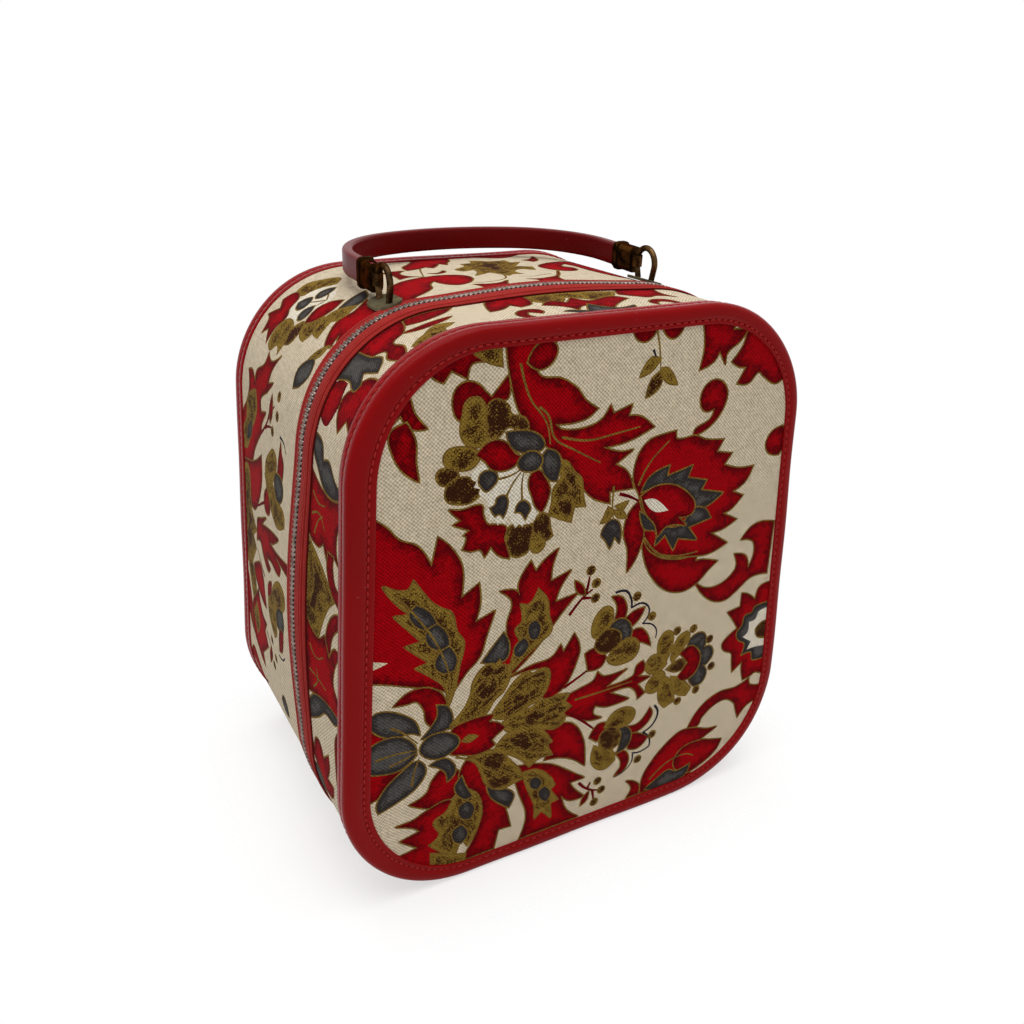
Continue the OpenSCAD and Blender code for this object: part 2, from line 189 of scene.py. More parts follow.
def printed(layout, mirror=1):
    """The layers of a print from the bottom up: each a closed line and its ink."""
    layers = []
    for ink, text in layout:
        points = [(mirror * x, y) for x, y in pairs(text)]
        if ink.endswith("line"):
            ink = ink[:-5]
            path = curve(points, closed=False)
            way = np.gradient(path, axis=0)
            way /= np.linalg.norm(way, axis=1)[:, None] + 1e-9
            out = np.stack([-way[:, 1], way[:, 0]], 1)
            width = LINE_HALF[ink] * np.linspace(1.25, 0.7, len(path))[:, None]
            layers.append((np.concatenate([path + width * out, (path - width * out)[::-1]]), ink))
            continue
        if ink.endswith("dot"):
            turn = np.linspace(0, 2 * math.pi, 9)[:-1]
            for x, y in points:
                ring = np.stack([x + DOT_R * np.cos(turn), y + DOT_R * np.sin(turn)], 1)
                layers += [(grown(ring, DOT_RIM), "rim"), (ring, "brown")]
            continue
        line = curve(points)
        if ink not in ("white", "cloth"):
            layers.append((grown(line, PATCH_RIM), "rim"))
        layers.append((line, ink))
    return layers


def cloth(name, layers, border, place, step=3.2, core_in=1.3, core_gap=1.0):
    """A skin of printed cloth: the border filled with faces that follow every patch of the print."""
    points, edges = [], []

    def add(line):
        first, n = len(points), len(line)
        points.extend(line)
        edges.extend((first + i, first + (i + 1) % n) for i in range(n))

    add(border)
    low, high = border.min(0), border.max(0)
    for line, ink in layers:
        add(line)
        if ink not in ("rim", "navy"):
            ring = grown(line, -core_in)[::2]
            ring = ring[inside(ring, line)]
            if len(ring):
                points.extend(ring[depth_in(ring, line) > core_gap])
    gx, gy = np.meshgrid(np.arange(low[0] + step / 2, high[0], step), np.arange(low[1] + step / 2, high[1], step))
    grid = np.stack([gx.ravel(), gy.ravel()], 1)
    points.extend(grid[inside(grid, border)])
    made = geometry.delaunay_2d_cdt([Vector(p) for p in points], edges, [], 0, 1e-3)
    flat = np.array([v[:] for v in made[0]])
    faces = np.array(made[2])
    corners = flat[faces]
    area = np.cross(corners[:, 1] - corners[:, 0], corners[:, 2] - corners[:, 0])
    faces[area < 0] = faces[area < 0][:, ::-1]
    middle = flat[faces].mean(1)
    keep = inside(middle, border) & (np.abs(area) > 1e-6)
    faces, middle = faces[keep], middle[keep]
    owner = np.full(len(faces), -1)
    for k in range(len(layers) - 1, -1, -1):
        line = layers[k][0]
        near = (owner < 0) & (middle > line.min(0)).all(1) & (middle < line.max(0)).all(1)
        where = np.flatnonzero(near)
        owner[where[inside(middle[where], line)]] = k
    ink = np.zeros((len(faces), 3, 4))
    shade = np.zeros((len(faces), 3, 4))
    for k in range(-1, len(layers)):
        where = np.flatnonzero(owner == k)
        if not len(where):
            continue
        colour, dark, edge, core, reach, dots = INKS[layers[k][1] if k >= 0 else "cloth"]
        amount = np.full((len(where), 3), edge)
        if k >= 0 and edge != core:
            spots = flat[faces[where]].reshape(-1, 2)
            t = np.clip(depth_in(spots, layers[k][0]) / reach, 0, 1)
            amount = (edge + (core - edge) * t).reshape(-1, 3)
        ink[where, :, :3], ink[where, :, 3] = colour, amount
        shade[where, :, :3], shade[where, :, 3] = dark, dots
    used = np.unique(faces)
    index = np.zeros(len(flat), int)
    index[used] = np.arange(len(used))
    faces, flat = index[faces], flat[used]
    mesh = bpy.data.meshes.new(name)
    mesh.from_pydata((place(flat) / 1000).tolist(), [], faces.tolist())
    for label, values in (("ink", ink), ("shade", shade)):
        mesh.color_attributes.new(label, "FLOAT_COLOR", "CORNER").data.foreach_set("color", values.ravel())
    uv = mesh.uv_layers.new(name="cloth")
    uv.data.foreach_set("uv", (flat[faces] / 1000).ravel())
    mesh.shade_smooth()
    piece = bpy.data.objects.new(name, mesh)
    bpy.context.collection.objects.link(piece)
    return piece


def material(name, roughness=0.5, metallic=0.0, specular=0.5):
    """A new node material with its Principled shader."""
    mat = bpy.data.materials.new(name)
    mat.use_nodes = True
    tree = mat.node_tree
    shader = tree.nodes["Principled BSDF"]
    shader.inputs["Roughness"].default_value = roughness
    shader.inputs["Metallic"].default_value = metallic
    shader.inputs["Specular IOR Level"].default_value = specular
    return mat, tree, shader


def node(tree, kind, inputs=(), **settings):
    """A shader node: settings on the node, then its inputs by name or number, as values or links."""
    made = tree.nodes.new(kind)
    for key, value in settings.items():
        setattr(made, key, value)
    for key, value in dict(inputs).items():
        if isinstance(value, bpy.types.NodeSocket):
            tree.links.new(value, made.inputs[key])
        else:
            made.inputs[key].default_value = value
    return made


def sums(tree, operation, *values, clamp=False):
    """A math node's value."""
    return node(tree, "ShaderNodeMath", dict(enumerate(values)), operation=operation, use_clamp=clamp).outputs[0]


def noise(tree, spot, scale, detail, **more):
    """A noise texture's value at a spot."""
    inputs = {"Vector": spot, "Scale": scale, "Detail": detail, **more}
    return node(tree, "ShaderNodeTexNoise", inputs).outputs["Fac"]


def mixed(tree, factor, a, b, kind="RGBA"):
    """Two colours, or two values, mixed by a factor."""
    a, b = (c + (1,) if isinstance(c, tuple) else c for c in (a, b))
    return node(tree, "ShaderNodeMix", {"Factor": factor, "A": a, "B": b}, data_type=kind).outputs["Result"]


def scaled(tree, colour, light):
    """A colour made lighter or darker."""
    return node(tree, "ShaderNodeVectorMath", {0: colour, "Scale": light}, operation="SCALE").outputs[0]


def norm(tree, way):
    """How long a vector is."""
    return node(tree, "ShaderNodeVectorMath", {0: way}, operation="LENGTH").outputs["Value"]


def stretched(tree, spot, by):
    """Coordinates drawn out along their axes."""
    return node(tree, "ShaderNodeVectorMath", {0: spot, 1: by}, operation="MULTIPLY").outputs[0]


def surface(tree, shader, colour, height, strength, distance):
    """Gives the shader its colour, and a bump from a height."""
    bump = node(tree, "ShaderNodeBump", {"Strength": strength, "Distance": distance, "Height": height})
    tree.links.new(colour, shader.inputs["Base Color"])
    tree.links.new(bump.outputs[0], shader.inputs["Normal"])


def weave_group():
    """Plain weave: the height of the threads and their uneven tone, from cloth coordinates in metres."""
    group = bpy.data.node_groups.new("weave", "ShaderNodeTree")
    for label, way, kind in (
        ("Cloth", "INPUT", "Vector"), ("Threads", "INPUT", "Float"),
        ("Height", "OUTPUT", "Float"), ("Tone", "OUTPUT", "Float"),
    ):
        group.interface.new_socket(label, in_out=way, socket_type="NodeSocket" + kind)
    start, end = group.nodes.new("NodeGroupInput"), group.nodes.new("NodeGroupOutput")
    spot = start.outputs["Cloth"]
    shift = sums(group, "MULTIPLY", sums(group, "SUBTRACT", noise(group, spot, 130.0, 2.0), 0.5), 4.0)
    xyz = node(group, "ShaderNodeSeparateXYZ", {0: spot}).outputs
    turns = sums(group, "MULTIPLY", start.outputs["Threads"], math.pi)
    waves, tones = [], []
    for axis, slub in ((0, (170.0, 1100.0, 1.0)), (1, (1100.0, 170.0, 1.0))):
        phase = sums(group, "ADD", sums(group, "MULTIPLY", xyz[axis], turns), shift)
        waves.append(sums(group, "SINE", phase))
        tones.append(noise(group, stretched(group, spot, slub), 1.0, 1.0))
    height = sums(group, "MULTIPLY_ADD", sums(group, "MULTIPLY", *waves), 0.5, 0.5)
    tone = sums(group, "MULTIPLY", sums(group, "ADD", *tones), 0.5)
    group.links.new(height, end.inputs["Height"])
    group.links.new(tone, end.inputs["Tone"])
    return group


WEAVE = weave_group()


def print_material():
    """Printed cotton: inks with dotted or soft printed shading, on threads with painted shade in the gaps between them.
    """
    mat, tree, shader = material("printed_cotton", 0.92, specular=0.02)
    shader.inputs["Sheen Weight"].default_value = 0.04
    shader.inputs["Sheen Roughness"].default_value = 0.4
    spot = node(tree, "ShaderNodeUVMap", uv_map="cloth").outputs[0]
    ink = node(tree, "ShaderNodeAttribute", attribute_name="ink").outputs
    shade = node(tree, "ShaderNodeAttribute", attribute_name="shade").outputs
    fine = noise(tree, spot, 1500.0, 2.0, Roughness=0.6)
    broad = noise(tree, spot, 280.0, 3.0, Distortion=1.5)
    # Feathered strokes, which run out from the heart of the great bloom
    heart = (-0.07, 0.073, 0.0)
    out = node(tree, "ShaderNodeVectorMath", {0: spot, 1: heart}, operation="SUBTRACT").outputs[0]
    ways = node(tree, "ShaderNodeSeparateXYZ", {0: out}).outputs
    turn = sums(tree, "MULTIPLY", sums(tree, "ARCTAN2", ways[1], ways[0]), 26.0)
    reach = sums(tree, "MULTIPLY", norm(tree, out), 150.0)
    fan = node(tree, "ShaderNodeCombineXYZ", {0: turn, 1: reach}).outputs[0]
    marks = mixed(tree, 0.6, broad, noise(tree, fan, 1.0, 4.0, Distortion=0.6), "FLOAT")
    # Each ink meets its shade in dots or softly, as its alpha says
    dots = sums(tree, "MULTIPLY_ADD", sums(tree, "SUBTRACT", fine, marks), 1.9, 0.5)
    speck = mixed(tree, shade["Alpha"], broad, dots, "FLOAT")
    level = sums(tree, "SUBTRACT", ink["Alpha"], speck)
    hard = sums(tree, "MULTIPLY_ADD", shade["Alpha"], 7.0, 2.2)
    mask = sums(tree, "MULTIPLY_ADD", level, hard, 0.5, clamp=True)
    dyed = mixed(tree, mask, ink["Color"], shade["Color"])
    threads = node(tree, "ShaderNodeGroup", {"Cloth": spot, "Threads": 1220.0}, node_tree=WEAVE).outputs
    # The thread height darkens the colour in the gaps between threads: painted shade. The tone is the threads' own
    # uneven colour.
    light = sums(tree, "MULTIPLY_ADD", threads["Height"], 0.78, 0.11)
    light = sums(tree, "MULTIPLY_ADD", threads["Tone"], 0.96, light)
    surface(tree, shader, scaled(tree, dyed, light), threads["Height"], strength=0.5, distance=0.00025)
    return mat


COTTON = print_material()

# The panel's flowers, drawn in millimetres from the middle of the base, from the bottom layer up
PANEL_PRINT = [
    # Scrolling leaves from the top and the spray of small bells that hangs from them
    ("red", "-74,233 -70,225 -66,222.5 -63,226.5 -57,223 -55,228 -47,229 -46,234"),
    ("gold", "-56,233 -44,233 -43.5,226 -49,228"),
    ("red", "-86,224 -79,219 -77,213 -72.5,207 -78.5,208 -82,213 -88,208"),
    ("red", "-86,207 -80,210 -77,203 -77,195 -76,188 -82,193 -85.5,200"),
    ("red", "-42,236 -40.5,224 -37,210 -31,200 -24,193 -17,187 -10,177 -3,169 5.5,165 5,170 16.5,169.5 13,177 "
            "7,181 15.5,186 9,186 1,189 13,190 24.5,194 18,199 12,200 13.5,204.5 5,202 3.5,205.5 -1,200 -10,198 "
            "-18,199 -21,201.5 -14,201 -7,202 -2.5,205 -8,209 -12,214 -19,218.5 -27,220 -30,224 -24,227 -21,236"),
    ("red", "-33,226 -30,231 -25,233 -21,230 -23,225 -28,223"),
    ("rim line", "-36,226 -32,213 -25,203 -23,194"),
    ("rim line", "-28,209 -24,205 -21,196 -12,190 0,183"),
    ("rim line", "-18,196 -6,193 8,194 18,195"),
    ("red", "-62.6,214.4 -61.4,219.4 -57.6,221.7 -53.1,220.6 -49.8,217.2 -47.6,215 -40.9,222.2 -40.9,214.4 -45.3,213.3 "
            "-49.2,211.7 -52,215.6 -56.4,216.1 -58.7,213.3 -57.6,208.3 -60.9,208.9"),
    ("gold", "-59.8,205.6 -58.7,210 -57.6,213.9 -53.1,215.6 -50.3,212.2 -49.8,206.7 -48.7,200 -52,197.8 -56.4,198.3 "
             "-59.2,201.7"),
    ("brown", "-48.7,212.2 -45.3,213.9 -40.9,211.1 -39.8,207.8 -34.2,205.6 -32.6,202.2 -35.3,201.1 -40.9,203.3 "
              "-45.3,200 -48.7,201.1"),
    ("gold", "-66.4,194.4 -64.8,197.8 -59.8,198.3 -54.2,196.7 -52.6,193.3 -55.9,190 -60.9,190 -64.2,191.1"),
    ("brown", "-69.2,189.4 -67.6,191.1 -63.1,190.6 -60.9,187.8 -62,185.6 -66.4,185 -68.7,186.7"),
    ("brown", "-65.9,182.2 -64.2,185.6 -58.7,186.7 -54.2,184.4 -52.6,178.9 -56.4,176.7 -62,177.2 -65.3,178.9"),
    ("red", "-64.8,175.3 -59.8,174.2 -54.2,175 -51.4,174.4 -51.1,171.1 -49.2,166.7 -45.3,165.6 -41.4,163.9 -42,158.9 "
            "-40.3,154.4 -39.8,150.6 -44.2,152.8 -47.6,157.2 -50.3,153.3 -52,156.7 -55.9,156.9 -59.2,158.3 -57.6,162.8 "
            "-58.7,163.9 -56.4,165.6 -63.1,168.9 -59.8,170 -62,172.2"),
    ("brown", "-40.9,161.1 -39.2,163.9 -34.2,162.8 -30.3,162.8 -30,157.8 -31.4,152.2 -34.2,150.6 -38.1,151.1 "
              "-40.3,155.6"),
    ("gold", "-30.3,154.4 -29.2,159.4 -25.9,157.8 -24.2,153.3 -26.4,150.6 -29.2,151.1"),
    ("brown", "-29.2,162.8 -26.4,166.7 -23.1,165 -22,160 -20.9,156.1 -23.7,155 -26.4,157.8 -28.7,159.4"),
    ("white", "-54.8,188.9 -51.4,190.6 -45.3,188.9 -38.7,186.7 -34.2,184.4 -32.6,180 -30.3,173.3 -28.4,168.3 "
              "-28.9,164.4 -30.3,165.8 -31.4,163.1 -32.9,165 -34.2,162.7 -35.6,164.4 -37.3,162.7 -38.7,165.6 "
              "-40.3,168.3 -41.8,164.9 -43.3,167.1 -44.8,165.3 -46.2,167.8 -48.4,168 -48,170.6 -50.3,171.4 -48.9,173.9 "
              "-50,177.2 -52.6,179.1 -52,181.3 -54.9,182.2 -53.6,184.4 -55.8,186.1"),
    ("red", "-53.7,194.4 -49.8,198 -45.3,198.9 -40.9,196.7 -38.1,192.8 -35.3,191.1 -38.7,187.8 -43.1,186.9 -47.6,188.3 "
            "-50.3,191.7"),
    ("rim line", "-45.3,183.9 -39.8,184.4 -35.3,186.1"),
    ("rim line", "-41.4,176.4 -38.7,181.1 -35.3,185"),
    ("rim line", "-34.6,173 -34.9,180 -34.2,184.4"),
    ("slate", "-52,186.7 -49.8,187.8 -46.4,186.7 -45.3,183.9 -47.6,181.1 -49.8,180 -51.4,181.7 -52.6,183.9"),
    ("slate", "-45.3,176.1 -42.6,176.9 -40.9,175 -41.4,171.1 -42.6,168.3 -44.2,170 -45.9,169.4 -47,171.1 -47.8,172.8 "
              "-45.6,174.2"),
    ("slate", "-36.4,172.2 -34.2,173.3 -32,171.7 -31.1,169.4 -32,167.8 -33.1,165.6 -34.2,167.8 -35.3,168.9 "
              "-37.3,169.4"),
    ("gold", "-19.2,186.7 -15.3,185.6 -12,181.1 -8.7,177.8 -7.6,171.1 -6.4,166.1 -11.4,166.7 -12.6,160.6 -17.6,162.8 "
             "-22.6,165.6 -21.4,170 -20.9,175.6 -17.6,180"),
    ("brown", "-16.5,184 -13.5,181 -10.5,178 -11,173.5 -14.5,177"),
    ("brown", "-19,169 -15.5,171 -12,169.5 -13,163.5 -17.5,165.5"),
    ("red", "-30.9,183.3 -27.6,184.4 -24.2,180 -22.6,175.6 -24.2,170 -25.9,167.2 -28.7,170 -30.3,174.4 -31.8,178.9"),
    ("slate", "-41.4,201.1 -36.4,201.1 -29.8,199.4 -25.9,195.6 -26.4,192.8 -32,192.2 -37.6,193.9 -40.3,197.2"),
    ("slate", "-26.4,188.9 -24.2,192.2 -19.8,190 -18.1,185.6 -19.8,178.9 -23.1,180 -25.9,184.4"),
    ("slate", "-36.4,189.4 -33.1,192.2 -28.7,191.7 -26.4,188.3 -28.7,185 -33.1,185 -35.9,186.7"),
    # Sprigs and leaves along the top
    ("rim line", "23,233 25,225 26,217"),
    ("gold", "25.5,221 21,221.5 16.5,215 22,217"),
    ("gold", "26.5,217 30,216.5 34.5,210 29,212"),
    ("brown", "26,216 22,213 20,206.5 25,209 27,213"),
    ("navy line", "22,225 23.5,222"),
    ("red", "12,234 14,230 18,228.5 22,231 23,235"),
    ("red", "26,235 27,231 31,228.5 35,231 36,235"),
    ("red", "45,235 47,224 45.5,214.5 52,217 55,221 58.5,215 59,220 65,224 69,228.5 61,229 63,235"),
    ("red", "73,234 69,228 67,222 62,216 66,213.5 70,213 66,206.5 72,206 77,210 80,208 87,204 92,206 88,218 82,228"),
    ("red", "86.5,177 89,182 95,184 98,177 95,171 89,172.5"),
    # The great lotus on the right with its tail and its curled stem
    ("red", "54,118 60,113.5 67,112.5 74,115 78,120 76,126.5 83,124 85.5,117 88,124 87,130 83,132.5 79,133 "
            "84,138 90,139.5 98,138 98,112 88,112 80,107 74,104 67,105 60,110"),
    ("red", "23,147 25,136 30,126 38,118 47,115 55,117 61,122 66,125.5 58,128 53,128.5 55,133 48,131 40,132 "
            "32,135 27,140"),
    ("red", "45,187 53,190 59,196 61,203 58,208 53,209.3 48.5,206.5 47.3,201 50,197 55,197.5 53,193 46,190"),
    ("red", "20,165 16.5,173 18,183 23,188.5 30,190 36,190.5 37,187 46,187 52,184.5 61.5,183 58.5,178 67,176 "
            "63.5,171.5 72,168.5 80.5,168 77,161.5 70,158 76.5,155 71,150 66,148.5 74.5,144 67,141 60,140.5 "
            "70.5,133.5 60,130.5 48,132 38,134 28,139 23,148 21,157"),
    ("rim line", "19,170 24,179 33,187"),
    ("rim line", "24,146 32,137 42,133.5 54,133"),
    ("red", "20,163 15,158 13.5,150 16,142 16.5,131.5 21,138 23.5,147 22,156"),
    ("slate", "21,167 25,173 34,176 33,171.5 46,174 44,169 54.5,166 52,162 64.5,158.5 56,154 50,154 46,161 38,166 "
              "30,168"),
    ("slate", "21,158 24,150 30,147.5 30,141 35,145 40,137 42,142 52.5,139 47,146 59,148 55,153 48,154 44,148 "
              "36,148 28,153"),
    ("red", "21,165 28,168 37,167 45,162 49.5,156 48,152 41,152 46,147 36,149 31,145 29,151 24,157"),
    ("white", "22.5,163 28,162.5 35.5,156 28,157"),
    ("rim line", "7,172 7,163 8,157"),
    ("gold", "2,157 5,163 8,161 5,157.5"),
    ("gold", "8.5,163 14.5,164 12,160.5"),
    ("gold", "8,161 12,160 14,157 10,158"),
    ("slate", "2.5,152 6,157 10,156 12,151 11.5,146 9,149.5 7,144.5 4.5,149"),
    ("red line", "10,168 15,166 20,163"),
    # Leaves round the great bloom on the left
    ("red", "-108,180 -96,178 -89,173 -84,167 -77,163 -71.8,154 -69,165 -64,160 -59.5,151 -60,138 -52.5,142.5 -52,134 "
            "-54,126 -45.5,129 -49,119 -52,110 -58,104 -64,96 -70,100 -80,104 -96,110 -108,112"),
    ("cloth", "-108,108 -98,108 -90,107 -84,103 -88,98 -94,97 -108,96"),
    ("cloth", "-108,122 -96,119.5 -90,117.5 -96,116 -108,116"),
    ("red", "-88.5,97.5 -82,102 -75,102 -69,98 -66,91 -64,80 -70,81 -75,86 -76,92 -79,97 -83,97"),
    ("gold", "-91,150 -82,146 -79,149.5 -73,140 -69,136 -64,132.5 -62,124 -59,118 -61,108 -63,98 -66,90 -67,100 "
             "-72,106 -79,112 -73,113 -83,122.5 -76,123 -87,136.5 -80,135.5 -86,142"),
    ("slate", "-81,136 -78,139 -73,135 -70,129 -74,128 -78,130"),
    ("slate", "-74,127 -70,129 -66,124 -65,118 -70,118 -74,122"),
    ("slate", "-69,116 -65,118 -62,112 -63,107 -68,107 -71,111"),
    ("rim line", "-86,145 -78,134 -70,120 -65,104 -66,92"),
    ("red", "-43.5,137 -37,136 -34.5,133 -35,139 -30,147 -27.5,142 -24,146 -17.5,150 -20,143 -20.5,136 -11,139 "
            "-16,132 -18,126 -7.5,127.5 -14,121 -20,114 -28,105 -38,97 -44,103 -40,112 -40,122 -38,131"),
    ("gold", "-34,129 -30,128 -26,133.5 -22,128 -21,121 -19.5,113 -25,109 -33,103 -38,99 -37,106 -34,112 -36,118 "
             "-33,121"),
    ("slate", "-30,118 -27,120 -24.5,116 -26,111 -29,112"),
    ("slate", "-36,110 -32,113 -30,109 -33,105 -36,106"),
    ("slate", "-51,107 -46,113 -41.5,118 -39,112 -40,106 -45,105"),
    ("red", "-40,96 -28,99 -19,100 -14.5,105 -13,101 -8,108.5 -5,101 -6,95 -10,86 -14,82 -22,79 -22,88 -22,95 -30,97"),
    ("red line", "-12,83 -3,87 4,91"),
    ("red", "-12,77 -4,80 3,82 5,86 9,82.5 21,83 14,79 10,76.5 24,78 26,83 29,84.5 30.5,80 27,77 34,75 27,73 "
            "31.5,67 28,65 26,70 22,73 12,73 18,69.5 23,66.5 12,66 5,68.5 4,64.5 9,61 1,62 -5,66 -12,70"),
    ("rim line", "-6,75 8,75 24,75.5"),
    ("red line", "-8,68 -2,63 5,56"),
    ("red", "-22,64 -10,64.5 -4,60 0,51 1,44 1.5,37 -5,43 -12,46.5 -20,48 -18,55"),
    ("red", "-37,50 -26,48 -16,44 -8,38 -2,33 2,30 -6,30 -3,25 2.5,19 -5,19.5 -10,24 -7,15 0,8 -31,8 -28,20 -32,34"),
    ("gold", "-31,45 -24,44 -18,39 -14,32 -16.5,30 -12,23 -16,22.5 -15,13.5 -20,20 -23.5,16.5 -24,25 -27,33"),
    ("slate", "-27,39 -24,40 -21,36 -23,33 -26,35"),
    ("slate", "-22,31 -19,33 -16,28 -18,24 -21,27"),
    ("red", "-83.5,48 -76,51 -73,57 -68,61 -61,57 -60,50 -64,45 -70,42 -78,44.5"),
    ("red", "-90,39 -82,39.5 -76,42 -66,44 -62,38 -66,30 -70,20 -68,8 -84,12 -92,22 -80,24 -88,30.5 -79,32.5 -82,35.5"),
    ("red", "-61,55 -56,64 -50,60 -48,51 -44,43 -40,33 -36,17.5 -42,18 -44,8 -60,8 -53,20 -50,32 -52,42 -58,48"),
    ("gold", "-63,44 -57,46 -53,41 -50.5,33 -52,25 -57,15.5 -60,21 -63,12.5 -68,16 -74.5,23 -70,27 -72.5,34.5 -67,38"),
    ("slate", "-61,38 -57,40 -54,35 -56,30 -60,32"),
    ("slate", "-64,26 -60,28 -57,22 -60,18 -63,20"),
    ("slate", "-60,54 -58,48 -55,42 -59,42 -63,49"),
    ("slate", "-48,44 -40,40 -35,35 -37,28.5 -42,33 -46,38"),
    ("gold", "-74,18 -66,14 -58,11 -60,7 -74,8"),
    # The great bloom itself
    ("red", "-112,94 -99,90 -92,85 -84,80 -84,68 -92,62 -97,56 -112,54"),
    ("slate", "-98.1,94.1 -95.3,96.3 -89.8,95.2 -84.2,91.9 -79.8,87.4 -78.1,80.8 -82,83 -88.7,83 -94.2,85.8 "
              "-97.6,89.7"),
    ("slate", "-100.9,75.2 -100.3,79.7 -94.2,83 -86.4,82.4 -80.9,77.4 -79.8,73 -82,69.7 -87.6,66.9 -94.2,67.4 "
              "-99.8,69.7"),
    ("slate", "-96.4,48.6 -97,53 -93.1,59.7 -86.4,65.2 -79.8,68.6 -76.4,65.2 -76.4,60.8 -80.9,55.2 -88.7,51.3"),
    ("slate", "-70.3,92.4 -66.4,90.8 -64.2,86.3 -64.2,80.8 -68.7,79.7 -77.6,78.6 -73.1,83 -70.3,87.4"),
    ("slate", "-74.2,64.7 -67.6,65.8 -63.7,61.9 -63.1,57.4 -66.4,54.1 -67,58.6 -69.8,61.9"),
    ("rim line", "-97,74.5 -88,75 -80,74"),
    ("rim line", "-90,88 -85,84 -79,77"),
    ("rim line", "-91,70 -86,71 -80,73"),
    ("rim line", "-82,57 -81,63 -78.5,70"),
    ("rim line", "-86,66 -82,69 -79,72"),
    ("gold", "-64.8,81.3 -58.7,87.4 -55.9,93 -54.8,98.6 -51.4,103.6 -47.6,105.2 -44.8,103.6 -43.1,105.8 -41.4,102.4 "
             "-38.1,102.4 -38.1,97.4 -40.9,90.8 -45.3,87.4 -49.8,81.9"),
    ("brown", "-53.7,95.2 -49.8,98 -47.6,96.3 -45.3,98.6 -44,94.7 -45.3,91.9 -49.2,89.1 -52,90.8"),
    ("brown", "-51.4,103 -47.4,104.6 -45.3,101.9 -40.9,103 -39.8,100.2 -43.1,99.1 -46.4,100.2 -49.8,99.7"),
    ("gold", "-46.4,80.2 -40.9,87.4 -35.3,94.1 -29.8,96.3 -27.6,94.7 -23.1,95.8 -19.8,94.1 -19.8,87.4 -23.1,81.9 "
             "-29.8,79.1 -35.3,76.3 -40.9,76.9 -45.3,78.6"),
    ("brown", "-36.4,85.2 -33.1,86.9 -31.4,85.2 -29.2,85.8 -29.8,81.3 -34.2,79.7 -38.7,77.4 -40.9,78.6 -36.4,81.9"),
    ("brown", "-28.7,94.2 -23.1,94.6 -20.9,93.2 -22,90.8 -24.2,91.9 -26.4,92.4"),
    ("gold", "-63.1,65.2 -56.4,61.9 -49.8,62.4 -45.3,62.4 -40.9,58.6 -36.4,53 -32.6,47.4 -30.9,41.9 -35.3,41.3 "
             "-39.8,40.2 -44.2,41.9 -48.7,46.3 -50.9,53 -54.2,59.7"),
    ("brown", "-50.3,58.6 -45.3,60.8 -42,59.7 -39.2,55.2 -40.9,53 -43.1,50.2 -46.4,53 -49.2,55.2"),
    ("brown", "-47.6,47.4 -44.2,48.6 -42,46.3 -38.7,47.4 -35.3,44.1 -39.8,41.3 -45.3,42.4"),
    ("gold", "-45.3,61.9 -38.7,68.6 -32,68 -24.2,66.3 -19.8,61.9 -17,56.9 -19.8,56.3 -16.4,49.7 -22,50.2 -27.6,47.4 "
             "-32,53 -37.6,57.4"),
    ("brown", "-37.6,65.2 -34.2,67.4 -29.8,66.3 -28.1,61.9 -26.4,58.6 -29.8,56.9 -33.1,59.7 -36.4,61.9"),
    ("brown", "-24.2,54.1 -17.4,50.3 -19.8,50.4 -23.1,51.3"),
    ("brown", "-23.9,61.2 -20.9,60.2 -18.2,57.3 -21.4,57.4"),
    ("gold", "-40.9,75.2 -34.2,77.4 -27.6,78 -23.1,80.2 -18.7,79.7 -13.7,80.2 -9.2,79.1 -11.4,75.8 -8.1,72.4 -12,70.2 "
             "-10.9,66.3 -15.3,63.6 -20.9,65.2 -27.6,67.4 -34.7,68.6 -39.8,70.8"),
    ("brown", "-30.9,73.6 -26.4,76.3 -23.1,74.7 -20,72.4 -23.1,70.2 -27,69.1 -29.8,70.8"),
    ("brown", "-16.4,79.2 -10.8,78.6 -12.5,77.4 -15.3,76.9"),
    ("brown", "-14.2,74.1 -9.3,72.4 -12,70.8 -14.8,71.3"),
    ("brown", "-18.1,67.4 -12,66.4 -14.2,64.6 -17.6,65.2"),
    ("red", "-64.2,78.6 -57.6,80.8 -49.8,81 -45.3,80.2 -47.6,77.4 -43.7,75.8 -40,72.2 -44.2,69.7 -46.4,68 -44.8,65.2 "
            "-48.1,63.6 -54.2,63.2 -59.8,65.2 -65.3,68"),
    ("gold", "-59.2,71.9 -57,73.6 -53.1,72.1 -56.4,70.8"),
    ("slate", "-78.1,73.6 -75.3,78 -69.8,79.1 -64.2,76.9 -61.1,72.4 -64.2,68.6 -69.8,66.9 -75.3,69.1"),
    # Two buds, a flower and sprigs of berries in the middle
    ("red", "-2,97 0,88 6,88 9,92 4,98"),
    ("red", "12,109 13,116 10,121.5 15,120 18,114 17,109"),
    ("red", "18,109 22,111.5 27.5,112 25,107 21,104"),
    ("red", "20,101 26,102 30,98 32.5,91.5 27,95 21,96"),
    ("slate", "9,106 14,109.5 19,107.5 21.5,102 20,97.5 16,97 15,103"),
    ("gold", "1,106 2,113 6,117 10,116 11,111 8,105 4,103"),
    ("gold", "10,91 14,96 21,98.5 26,94 24,88 17,86.5 12,88"),
    ("brown", "3,100 6,105 11,105.5 15.5,102 15,97 9,94.5 5,96"),
    ("navy line", "11.5,123 17,122.5 20,118 20.5,113.5 26,114.5 30,111 29.5,106.5 27,104 32,102.5 35,99 35,94.5"),
    ("dot", "23,118.5 32,106.5"),
    ("gold", "38,84 37,91 40,96 44,95 45,89 43,82 41,79"),
    ("gold", "45,82 48,91 53,93 54.5,90 51,84 46,79"),
    ("gold", "31,81 34,85.5 40,84 42.5,79 38,76 33,77"),
    ("gold", "32.5,71 38,76 42,74 41,68 37,65.5 33,67"),
    ("gold", "40,71 40,61 44,55 49,57 48,63 44,71"),
    ("gold", "46,71 52,68 58.5,61 56,58 50,61"),
